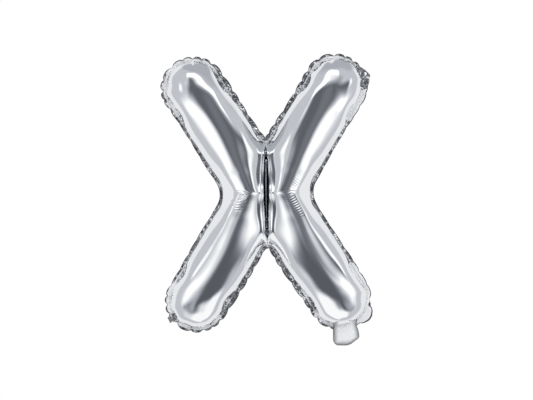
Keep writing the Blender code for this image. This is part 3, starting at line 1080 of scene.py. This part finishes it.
# %% Neck sizes
NECK_TOP = -150.0
NECK_SIDES = [
    # height, left edge, right edge
    (NECK_TOP, 76.0, 107.0),
    (-156.0, 77.5, 105.5),
    (-160.0, 77.2, 105.0),
    (-168.0, 76.8, 107.5),
    (-174.0, 76.8, 108.2),
    (-185.0, 76.8, 108.2),
]
NECK_LOW = [
    # share across, height of the open end
    (0.0, -179.0),
    (0.06, -182.5),
    (0.16, -184.3),
    (0.5, -184.6),
    (0.66, -183.2),
    (0.96, -176.5),
    (1.0, -174.5),
]
NECK_PUFF = 2.4              # mm that a layer bulges at most
NECK_FULL = (0.45, 0.55, 1.4)       # share of it at the least, more at the arm, and how it falls
NECK_APART = 0.35            # mm from the middle plane to a layer's edge
NECK_THICK = 0.2
NECK_EDGE_SHADE = 0.22              # share of the width that the painted shade at the sealed edge takes
MOUTH_EDGE_SHADE = 1.1              # above 1 the painted shade is narrower along the open end
NECK_ALONG, NECK_ACROSS = 36, 40
print("neck from", NECK_TOP, "down to", min(low for share, low in NECK_LOW), "mm")


# %% [markdown]
# A grid has its points in rows and columns already. Its two coordinates are read as the share
# across the neck and the share down it, and neck_point() says where in space that is.

# %% Make the two layers
def neck_point(u, v, front):
    """Point of one layer: u from left to right, v from the arm down to the open end."""
    low = np.interp(u, *np.array(NECK_LOW).T)
    z = NECK_TOP + (low - NECK_TOP) * v
    heights, lefts, rights = np.array(NECK_SIDES)[::-1].T
    left, right = np.interp(z, heights, lefts), np.interp(z, heights, rights)
    fuller = NECK_FULL[0] + NECK_FULL[1] * math.cos(v * NECK_FULL[2])
    bulge = NECK_PUFF * max(0.0, math.sin(math.pi * u)) ** 0.5 * fuller
    return left + (right - left) * u, -front * (NECK_APART + bulge), z


def neck_layer(name, front):
    """One layer of the neck. front is 1 for the front one and -1 for the back one."""
    bpy.ops.object.select_all(action="DESELECT")
    bpy.ops.mesh.primitive_grid_add(x_subdivisions=NECK_ACROSS, y_subdivisions=NECK_ALONG, size=2.0)
    ob = bpy.context.active_object
    ob.name = ob.data.name = name
    edge_shade_share = []
    for v in ob.data.vertices:
        u, down = (v.co.x + 1) / 2, (1 - v.co.y) / 2
        v.co = [c * MM for c in neck_point(u, down, front)]
        # How near a sealed edge the point is, for the painted shade there.
        to_edge = min(u, 1 - u, (1 - down) * MOUTH_EDGE_SHADE)
        edge_shade_share.append(max(0.0, 1 - to_edge / NECK_EDGE_SHADE))
    keep(ob, "rim", edge_shade_share)
    ob.data.update()
    wall(ob, NECK_THICK, 0.0)
    return ob


neck_front = neck_layer("neck_front_film", 1)
neck_back = neck_layer("neck_back_film", -1)
print("neck", len(neck_front.data.polygons), "faces a layer")

# %% [markdown]
# ## Hanging tabs
# Two small tabs of doubled film stand out of the rim, at the upper right and the lower
# left. Each has a round hole for a ribbon. A tab is built as rings of points that grow from
# the round hole into the tab's own outline, so the hole is open and its edge is clean. A
# slow wave in both directions keeps it from looking stamped out of card.

# %% Tab sizes
TABS = [
    # name, replaced node, side x, side z, angle of the hole, its radius and its distance
    ("tab_upper_film", "hanging_tab_upper", 1, 1, 21.0, 2.0, 38.6),
    ("tab_lower_film", "hanging_tab_lower", -1, -1, 214.0, 1.8, 38.4),
]
TAB_SHAPES = [
    # corners round the hole: distance out from the arm, distance across
    [(-13.3, 23.0), (-4.7, 12.6), (1.9, 4.4), (5.0, -3.8), (1.4, -10.4), (-5.3, -18.6),
     (-12.0, -14.0), (-9.0, 0.0), (-12.0, 15.0)],
    [(3.0, -3.6), (4.2, 3.4), (-1.6, 5.4), (-7.6, 11.0), (-11.0, 4.0), (-11.0, -3.0),
     (-8.0, -4.6)],
]
TAB_STEPS = 96               # points round a ring
TAB_THICK = 0.25
TAB_RINGS = (0.0, 0.08, 0.2, 0.4, 0.6, 0.8, 0.93, 1.0)      # share of the way to the outline
TAB_AHEAD = 0.7              # mm in front of the middle plane
TAB_WAVES = ((0.5, 0.6), (0.35, 0.9))       # height and steepness, across and outwards
print("tabs with", [len(corners) for corners in TAB_SHAPES], "corners")


# %% [markdown]
# In each direction from the hole's centre, reach_of() finds how far away the outline is. A
# ring lies at the same share of that way all round, so the rings pass from a circle into the
# tab's outline.

# %% Make the tabs
def reach_of(corners):
    """Distance from the hole's centre to the tab's outline in each direction."""
    found = []
    sides = list(zip(corners, corners[1:] + corners[:1]))
    for turn in np.linspace(0, 2 * math.pi, TAB_STEPS, endpoint=False):
        way = np.array([math.cos(turn), math.sin(turn)])
        hits = []
        for a, b in sides:
            side = np.subtract(b, a)
            facing = way[0] * side[1] - way[1] * side[0]
            if abs(facing) > 1e-9:
                reach = (a[0] * side[1] - a[1] * side[0]) / facing
                share = (a[0] * way[1] - a[1] * way[0]) / facing
                if reach > 0 and 0 <= share <= 1:
                    hits.append(reach)
        found.append(max(hits))
    return np.array(found)


def tab(name, side_x, side_z, angle, hole, distance, corners):
    """A ring from the hole out to the tab's outline, slightly wavy, with a thin wall."""
    swing = math.radians(angle)
    outwards = np.array([math.cos(swing), math.sin(swing)])
    across = np.array([-outwards[1], outwards[0]])
    centre = [side_x, side_z] * np.array(BLOWN_EDGE["end"]) + distance * outwards
    turns = np.linspace(0, 2 * math.pi, TAB_STEPS, endpoint=False)
    reach = reach_of(corners)
    points = []
    for part in TAB_RINGS:
        radius = hole + (reach - hole) * part
        out, side = radius * np.cos(turns), radius * np.sin(turns)
        flat_spot = centre + out[:, None] * outwards + side[:, None] * across
        wave = sum(high * np.sin(x * steep) for (high, steep), x in zip(TAB_WAVES, (side, out)))
        points.append(np.stack([flat_spot[:, 0], wave - TAB_AHEAD, flat_spot[:, 1]], 1))
    ob = mesh_object(name, np.concatenate(points), ring_quads(len(TAB_RINGS), TAB_STEPS))
    wall(ob, TAB_THICK, 0.0)
    return ob


tabs = [(tab(name, *row, corners), (node_name,)) for (name, node_name, *row), corners
        in zip(TABS, TAB_SHAPES)]
print("tabs", [piece.name for piece, replaced in tabs])

# %% [markdown]
# ## Finishes
# A finish is a small graph of nodes. Nothing is painted or loaded: every pattern comes from
# noise, or from the numbers kept on the points. These helpers add a node, feed its sockets
# and do sums with them, so that each finish below reads like a recipe.

# %% Node helpers
def plug(tree, value, socket):
    """Feed a socket from another one, or set it to a number or a colour."""
    if isinstance(value, bpy.types.NodeSocket):
        tree.links.new(value, socket)
    elif isinstance(value, tuple):
        socket.default_value = (*value, 1.0)
    else:
        socket.default_value = value


def node(tree, kind, **values):
    """A node with its sockets and settings filled in by name."""
    made = tree.nodes.new(kind)
    for key, value in values.items():
        if key in made.inputs:
            plug(tree, value, made.inputs[key])
        else:
            setattr(made, key, value)
    return made


# %% [markdown]
# The second set does sums and makes patterns. Each function adds one node and gives back the
# socket with its result, which the next one can take. The last one starts a new finish.

# %% Sums and patterns
def calc(tree, operation, a, b=0.0):
    """The result of one sum. Each side is a socket or a number."""
    made = node(tree, "ShaderNodeMath", operation=operation)
    for socket, value in zip(made.inputs, (a, b)):
        plug(tree, value, socket)
    return made.outputs[0]


def ramp(tree, value, low, high, at_low, at_high):
    """A soft passage from one number to another while a value goes from low to high."""
    ends = {"From Min": low, "From Max": high, "To Min": at_low, "To Max": at_high}
    return node(tree, "ShaderNodeMapRange", interpolation_type="SMOOTHSTEP", Value=value,
                **ends).outputs[0]


def mix_colour(tree, a, b, factor):
    """A colour between two others, each a socket or three numbers."""
    return node(tree, "ShaderNodeMix", data_type="RGBA", A=a, B=b, Factor=factor).outputs["Result"]


def noise(tree, spot, scale, detail):
    """Soft random patches in the object's own space."""
    return node(tree, "ShaderNodeTexNoise", Vector=spot, Scale=scale, Detail=detail).outputs["Fac"]


def kept_number(tree, label):
    """A number that keep() left on the points."""
    return node(tree, "ShaderNodeAttribute", attribute_name=label).outputs["Fac"]


def new_material(name, colour, metallic, roughness):
    """A material with its shader, and the object's own coordinates to lay patterns in."""
    material = bpy.data.materials.new(name)
    material.use_nodes = True
    tree = material.node_tree
    shader = tree.nodes["Principled BSDF"]
    for key, value in (("Base Color", colour), ("Metallic", metallic), ("Roughness", roughness)):
        plug(tree, value, shader.inputs[key])
    return material, tree, shader, node(tree, "ShaderNodeTexCoord")


# %% [markdown]
# ## Mirror foil
# Metallised film is a mirror under a thin clear skin: fully metallic, bright, and hardly
# rough. What it mirrors gives it its look, so the finish itself stays quiet. It has a faint
# haze, a very fine grain, and the long shallow gathers that run in from the weld. They don't
# change the outline, so a bump is enough for them. Round an arm's end they are spokes of the
# end's centre, evenly spaced by angle.

# %% Foil
SPOKES = 60                  # gathers in one turn round an arm's end
SPOKE_HIGH = 0.34            # mm
SPOKE_WANDER = 9.0           # how far noise bends them
SLACK_ROUGH = 0.12           # gathered film is slack, and scatters a little more
HAZE = (0.75, 1.3)           # the roughness varies between these shares of itself
GRAIN = (0.03, 0.0004)       # strength, and height in m


def foil_finish(name, colour, roughness):
    """A soft mirror with gathers where the points ask for them."""
    material, tree, shader, places = new_material(name, colour, 1.0, roughness)
    spot = places.outputs["Object"]
    share = kept_number(tree, "gather")
    ends = {"To Min": roughness * HAZE[0], "To Max": roughness * HAZE[1]}
    patches = noise(tree, spot, scale=14.0, detail=2.0)
    haze = node(tree, "ShaderNodeMapRange", Value=patches, **ends).outputs[0]
    slack = calc(tree, "MULTIPLY", share, SLACK_ROUGH)
    plug(tree, calc(tree, "ADD", haze, slack), shader.inputs["Roughness"])

    parts = node(tree, "ShaderNodeSeparateXYZ", Vector=spot)
    arm_x, arm_z = (calc(tree, "SUBTRACT", calc(tree, "ABSOLUTE", parts.outputs[axis]), middle * MM)
                    for axis, middle in zip("XZ", BLOWN_EDGE["end"]))
    spoke = calc(tree, "MULTIPLY", calc(tree, "ARCTAN2", arm_z, arm_x), float(SPOKES))
    wander = noise(tree, spot, scale=45.0, detail=1.0)
    spoke = calc(tree, "ADD", spoke, calc(tree, "MULTIPLY", wander, SPOKE_WANDER))
    ridges = calc(tree, "MULTIPLY", calc(tree, "SINE", spoke), share)
    gathered = node(tree, "ShaderNodeBump", Strength=1.0, Distance=SPOKE_HIGH * MM, Height=ridges)
    grain = node(tree, "ShaderNodeBump", Strength=GRAIN[0], Distance=GRAIN[1],
                 Height=noise(tree, spot, scale=160.0, detail=3.0), Normal=gathered.outputs[0])
    plug(tree, grain.outputs[0], shader.inputs["Normal"])
    return material


foil_mirror = foil_finish("foil mirror", (0.935, 0.94, 0.95), 0.075)
print("foil mirror:", len(foil_mirror.node_tree.nodes), "nodes")

# %% [markdown]
# ## Sealed film
# The sealing bar crumples the film of the rim into small flat facets, and each of them
# mirrors another part of the room. Voronoi cells measured with Manhattan distance have such
# slanted flat sides, so they make the bump, and the tops of their folds are painted lighter
# as a painted highlight. Beside the weld the bar didn't reach: the film is smooth, pale and
# slack there. Further out the film's colour is painted dark as shade, and along the cut it
# is painted darker still, as the shade where the layers turn their edge to the eye.

# %% Sealed film
PALE_FILM = (0.90, 0.905, 0.92)
PALE_EDGE = (-0.08, -0.01)   # share of the width over which the pale film ends
FACET_EDGE = (-0.06, -0.01)  # the same for where the facets' relief sets in
PALE_METAL = 0.8             # how much less metallic the pale film is
PALE_ROUGH = 0.3             # how much rougher it is
PAINTED_HIGHLIGHT = (0.85, 0.86, 0.88)   # painted highlight: the tops of the facets' folds, lighter in colour
HIGHLIGHT_FROM = (0.84, 0.98)    # share of a facet's size where the painted highlight begins and is full
HIGHLIGHT_UNTIL = (0.78, 0.86)   # share of the rim's width where the painted highlights die out
CUT_SHADE = (0.80, 0.90)      # share of the rim's width where the painted shade along the cut begins and is full
FINER = 2.3                  # the second, smaller set of facets
FINER_SHARE = 0.3


def sealed_finish(name, colour, dark, roughness, facet, slope):
    """Crumpled film, pale beside the weld, painted dark as shade further out and at the cut, with
    painted highlights on its folds.
    """
    material, tree, shader, places = new_material(name, colour, 1.0, roughness)
    spot = places.outputs["Object"]
    facets, finer = (node(tree, "ShaderNodeTexVoronoi", Vector=spot, Scale=times / (facet * MM),
                          distance="MANHATTAN").outputs["Distance"] for times in (1.0, FINER))
    height = calc(tree, "ADD", facets, calc(tree, "MULTIPLY", finer, FINER_SHARE))
    out = node(tree, "ShaderNodeSeparateXYZ", Vector=places.outputs["UV"]).outputs["Y"]
    past = calc(tree, "SUBTRACT", out, kept_number(tree, "pale"))
    smooth = ramp(tree, past, *PALE_EDGE, 1.0, 0.0)
    bump = node(tree, "ShaderNodeBump", Distance=slope * facet * MM, Height=height,
                Strength=ramp(tree, past, *FACET_EDGE, 0.0, 1.0))
    plug(tree, bump.outputs[0], shader.inputs["Normal"])

    # Painted shade: the film's colour, darkened further towards the cut to the share dark of itself.
    line = node(tree, "ShaderNodeValToRGB", Fac=out)
    for stop, at, shade in zip(line.color_ramp.elements, CUT_SHADE, (1.0, dark)):
        stop.position = at
        stop.color = (*[c * shade for c in colour], 1.0)
    # Painted highlight: the tops of the facets' folds are made lighter in colour.
    highlight_share = calc(tree, "MULTIPLY", ramp(tree, facets, *HIGHLIGHT_FROM, 0.0, 1.0),
                       ramp(tree, out, *HIGHLIGHT_UNTIL, 1.0, 0.0))
    highlighted = mix_colour(tree, line.outputs[0], PAINTED_HIGHLIGHT, highlight_share)
    plug(tree, mix_colour(tree, highlighted, PALE_FILM, smooth), shader.inputs["Base Color"])
    metal = calc(tree, "SUBTRACT", 1.0, calc(tree, "MULTIPLY", smooth, PALE_METAL))
    plug(tree, metal, shader.inputs["Metallic"])
    rough = calc(tree, "ADD", calc(tree, "MULTIPLY", smooth, PALE_ROUGH), roughness)
    plug(tree, rough, shader.inputs["Roughness"])
    return material


# These films are the same silver foil as the sheets; their dark colours are painted shade.
SEALED = [
    # name, colour (painted dark, as shade), share of it left at the cut (painted shade), roughness,
    # size of a facet in mm, its slope
    ("sealed film", (0.24, 0.245, 0.265), 0.3, 0.06, 5.2, 0.17),
    ("weld line", (0.45, 0.455, 0.47), 0.7, 0.3, 4.0, 0.1),
    ("tab film", (0.26, 0.265, 0.29), 1.0, 0.10, 7.0, 0.24),
]
sealed, weld_line, tab_film = (sealed_finish(*row) for row in SEALED)
print("sealed film:", len(sealed.node_tree.nodes), "nodes")

# %% [markdown]
# ## Soft film of the neck
# The neck is the same film with nothing pulling on it. It scatters the light and looks nearly
# white, so it is hardly metallic here. Towards its sealed edges it turns away and darkens:
# that is painted shade in its colour, drawn by the number kept on its points.

# %% Neck film
NECK_SLACK = (0.2, 0.001)    # bump strength, and height in m
NECK_SHADE_FALL = 1.3              # above 1 the painted shade at the edge is narrower


def neck_finish(name, colour, shade_colour):
    """Slack film with painted shade that darkens it towards its edges."""
    material, tree, shader, places = new_material(name, colour, 0.15, 0.4)
    bump = node(tree, "ShaderNodeBump", Strength=NECK_SLACK[0], Distance=NECK_SLACK[1],
                Height=noise(tree, places.outputs["Object"], scale=60.0, detail=2.0))
    plug(tree, bump.outputs[0], shader.inputs["Normal"])
    # Painted shade: the colour darkens towards the sealed edges.
    shade_at_edge = calc(tree, "POWER", kept_number(tree, "rim"), NECK_SHADE_FALL)
    plug(tree, mix_colour(tree, colour, shade_colour, shade_at_edge), shader.inputs["Base Color"])
    return material


# The second colour is the painted shade at the neck's edges.
neck_soft = neck_finish("neck foil", (0.93, 0.935, 0.945), (0.08, 0.083, 0.09))
print("neck foil:", len(neck_soft.node_tree.nodes), "nodes")

# %% [markdown]
# ## Clear film of the valve
# The valve is two layers of thin plastic that cling together, and only its end can be seen,
# in the neck's mouth. It lets light through, is milky in soft patches, and has the fine
# lines along it that the film gets when it is drawn.

# %% Valve film
MILKY_FROM = (0.35, 0.65)    # noise where a milky patch begins and is full
MILKY = (0.12, 0.4)          # roughness of the clear and of the milky patches
LET_THROUGH = 0.6            # share of the light
DRAWN = (0.3, 0.0001)        # the drawn lines' bump strength, and height in m


def valve_finish(name):
    """Clear plastic film, milky in soft patches, with fine drawn lines along the neck."""
    material, tree, shader, places = new_material(name, (0.9, 0.91, 0.92), 0.0, 0.2)
    spot = places.outputs["Object"]
    shader.inputs["Transmission Weight"].default_value = LET_THROUGH
    milky = ramp(tree, noise(tree, spot, scale=90.0, detail=2.0), *MILKY_FROM, *MILKY)
    plug(tree, milky, shader.inputs["Roughness"])
    lines = node(tree, "ShaderNodeTexWave", Vector=spot, Scale=300.0, Distortion=1.5)
    bump = node(tree, "ShaderNodeBump", Strength=DRAWN[0], Distance=DRAWN[1],
                Height=lines.outputs["Fac"])
    plug(tree, bump.outputs[0], shader.inputs["Normal"])
    return material


valve_clear = valve_finish("valve film")
print("valve film:", len(valve_clear.node_tree.nodes), "nodes")

# %% [markdown]
# ## Who wears what
# Each new piece gets one finish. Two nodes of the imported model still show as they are, the
# centre weld and the valve film, and get theirs here too.

# %% Hand the finishes out
def dress(ob, material):
    """Give an object one finish."""
    ob.data.materials.clear()
    ob.data.materials.append(material)


WARDROBE = [
    (front_foil, foil_mirror),
    (back_foil, foil_mirror),
    (seam_band, sealed),
    *((piece, tab_film) for piece, replaced in tabs),
    (neck_front, neck_soft),
    (neck_back, neck_soft),
    (frame["nodes"]["centre_weld"], weld_line),
    (frame["nodes"]["valve_film"], valve_clear),
]
for piece, finish in WARDROBE:
    dress(piece, finish)
print("dressed", len(WARDROBE), "objects")

# %% [markdown]
# ## Studio
# A mirror shows the room and hardly itself. The photograph's room can be read off the
# tubes: a dark gap where the camera stands, a big soft box on either side of it, a strip
# above it, a white table below, pale walls, and a white backdrop behind the balloon, which
# gives each tube its light border. The same room is used here. The neck and the inner half
# of the rim aren't mirrors, so a soft light is added that only matt film shows. The floor
# lies well below the balloon, which hangs in the air.

# %% Floor
FLOOR_WIDE = 2.6             # m
FLOOR_Z = -0.62
bpy.ops.object.select_all(action="DESELECT")
bpy.ops.mesh.primitive_plane_add(size=FLOOR_WIDE, location=(0.0, 0.0, FLOOR_Z))
floor = bpy.context.active_object
floor.name = "floor"
dress(floor, new_material("pale floor", (0.9, 0.9, 0.9), 0.0, 0.7)[0])
floor.visible_glossy = False        # the foil mirrors the table from the cards' list instead
print("floor at", round(floor.location.z / MM), "mm")

# %% [markdown]
# ## The room as the foil sees it
# Lamps and cards could be set up round the balloon, but their edges would come out hard and
# broken in every crease. So the room is drawn in the world's shader. Each card there is a
# patch with a soft edge, placed by the angles under which the balloon sees it: azimuth 0 is
# straight in front, and to the right is plus. A later card covers an earlier one. The camera
# itself sees plain white behind the balloon.

# %% Walls and soft boxes
CARDS = [
    # azimuth, elevation, half wide, half high, softness, tilt, brightness
    ("ceiling", 4.0, 76.0, 170.0, 28.0, 7.0, -3.0, 0.45),
    ("table", -5.0, -53.0, 62.0, 34.0, 8.0, 25.0, 1.02),
    ("dark behind the camera", 10.0, 15.0, 44.0, 16.2, 5.0, -9.0, 0.125),
    ("camera stand", 8.0, -3.0, 10.5, 31.0, 7.0, -4.0, 0.18),
    ("dark under the camera", 6.0, -20.0, 60.0, 12.2, 5.2, 0.0, 0.11),
    ("box left", -40.0, -7.0, 20.0, 11.0, 12.0, 32.0, 1.3),
    ("box right", 49.0, -7.0, 20.5, 11.5, 13.0, -24.0, 1.44),
    ("window right", 60.0, 21.0, 5.0, 6.0, 4.0, 0.0, 1.15),
    ("window left", -53.0, 20.0, 5.0, 5.0, 4.0, 0.0, 1.15),
    ("strip above, left", -20.0, 37.6, 21.0, 4.2, 2.8, 11.0, 1.6),
    ("strip above, right", 20.0, 37.6, 21.0, 4.2, 2.8, -11.0, 1.6),
]
CARDS_BEHIND = [
    # the same, with azimuth 0 straight behind the balloon
    ("dark behind the balloon", 0.0, 12.0, 30.0, 11.0, 6.0, 8.0, 0.16),
    ("dark low behind", 4.0, -14.0, 22.0, 8.0, 5.0, -6.0, 0.2),
]
WALLS = 0.58
BACKDROP = 0.86
BACKDROP_FROM = (0.13, 0.21)        # share of the way straight back where the backdrop starts
WHITE = (1.0, 1.0, 1.0)
SHADE_TINT = (0.90, 0.97, 1.10)     # the dark parts of the room are a little blue
print("cards:", ", ".join(row[0] for row in CARDS + CARDS_BEHIND))


# %% [markdown]
# A card is two crossed strips multiplied by each other, one for its width and one for its
# height. Where the result is 1, the card's brightness takes the place of what is behind it.

# %% One card in front of the others
def edge_mask(tree, a, share_a, b, share_b, middle, half, soft):
    """1 within a strip's half width of its middle, 0 outside, with a soft edge."""
    across = calc(tree, "ADD", calc(tree, "MULTIPLY", a, share_a), calc(tree, "MULTIPLY", b, share_b))
    off = calc(tree, "ABSOLUTE", calc(tree, "SUBTRACT", across, middle))
    return ramp(tree, off, half - soft, half + soft, 1.0, 0.0)


def card(tree, level, azimuth, elevation, row):
    """The room's brightness with one more card in front of it."""
    name, card_az, card_el, wide, high, soft, tilt, bright = row
    c, s = math.cos(math.radians(tilt)), math.sin(math.radians(tilt))
    mask = calc(tree, "MULTIPLY",
                edge_mask(tree, azimuth, c, elevation, s, card_az * c + card_el * s, wide, soft),
                edge_mask(tree, elevation, c, azimuth, -s, card_el * c - card_az * s, high, soft))
    change = calc(tree, "SUBTRACT", bright, level)
    return calc(tree, "ADD", level, calc(tree, "MULTIPLY", change, mask))


# %% [markdown]
# Two angles are worked out from the direction of view, and the cards are laid in front of
# each other, from the first to the last. The camera's own rays skip them and get white.

# %% Draw the room
world = bpy.data.worlds.new("studio")
bpy.context.scene.world = world
world.use_nodes = True
tree = world.node_tree
view = node(tree, "ShaderNodeTexCoord").outputs["Generated"]
way = node(tree, "ShaderNodeSeparateXYZ", Vector=view).outputs
ahead = calc(tree, "MULTIPLY", way["Y"], -1.0)
azimuth, behind = (calc(tree, "DEGREES", calc(tree, "ARCTAN2", way["X"], along_y))
                   for along_y in (ahead, way["Y"]))
elevation = calc(tree, "DEGREES", calc(tree, "ARCSINE", way["Z"]))
level = ramp(tree, way["Y"], *BACKDROP_FROM, WALLS, BACKDROP)
for turn, rows in ((behind, CARDS_BEHIND), (azimuth, CARDS)):
    for row in rows:
        level = card(tree, level, turn, elevation, row)
walls = tree.nodes["Background"]
plug(tree, mix_colour(tree, SHADE_TINT, WHITE, level), walls.inputs["Color"])
plug(tree, level, walls.inputs["Strength"])
plain = node(tree, "ShaderNodeBackground", Color=WHITE, Strength=1.0)
mix = node(tree, "ShaderNodeMixShader")
for socket, value in zip(mix.inputs, (node(tree, "ShaderNodeLightPath").outputs["Is Camera Ray"],
                                      walls.outputs[0], plain.outputs[0])):
    plug(tree, value, socket)
plug(tree, mix.outputs[0], tree.nodes["World Output"].inputs["Surface"])
print("room of", len(CARDS) + len(CARDS_BEHIND), "cards")

# %% [markdown]
# ## Soft light for what isn't a mirror
# The neck, the pale film of the rim and the floor are matt, and the room alone leaves them
# grey. A wide sun lifts them. In the foil it would be a hard spot that the photograph
# doesn't have, so it is kept out of glossy rays.

# %% Soft light
SUN_STRENGTH = 1.6
SUN_WIDE = 50.0              # degrees, so its shadows are soft
SUN_TURN = (45.0, 0.0, 12.0)        # down from above the camera, a little from the right
sun_data = bpy.data.lights.new("soft light", "SUN")
sun_data.energy = SUN_STRENGTH
sun_data.angle = math.radians(SUN_WIDE)
sun = bpy.data.objects.new("soft light", sun_data)
bpy.context.scene.collection.objects.link(sun)
sun.rotation_euler = [math.radians(turn) for turn in SUN_TURN]
sun.visible_glossy = False
print("soft light of", sun_data.energy, "turned by", SUN_TURN, "degrees")

# %% [markdown]
# ## Fitting the pieces to the model
# Each new piece rides on the one body, and the CAD nodes it replaces are hidden. The two sheets hold
# air.

# %% Ride and replace
PIECES = [
    # piece, replaced nodes, finish
    (front_foil, ("front_panel",), "foil"),
    (back_foil, ("back_panel",), "foil"),
    (seam_band, ("edge_seam",), "seam"),
    (neck_front, ("neck_front",), "foil"),
    (neck_back, ("neck_back",), "foil"),
    *((piece, replaced, "seam") for piece, replaced in tabs),
]
for piece, nodes, finish in PIECES:
    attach(piece, "root")
    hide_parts(*nodes)
    print(piece.name, "stands for", *nodes)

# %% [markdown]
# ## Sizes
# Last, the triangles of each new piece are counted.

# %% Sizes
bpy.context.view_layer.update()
for ob in bpy.data.objects:
    if ob.type == "MESH" and ob.name not in frame["nodes"]:
        ob.data.calc_loop_triangles()
        print(ob.name, len(ob.data.loop_triangles), "triangles")
print("made in", round(time.time() - START), "s")
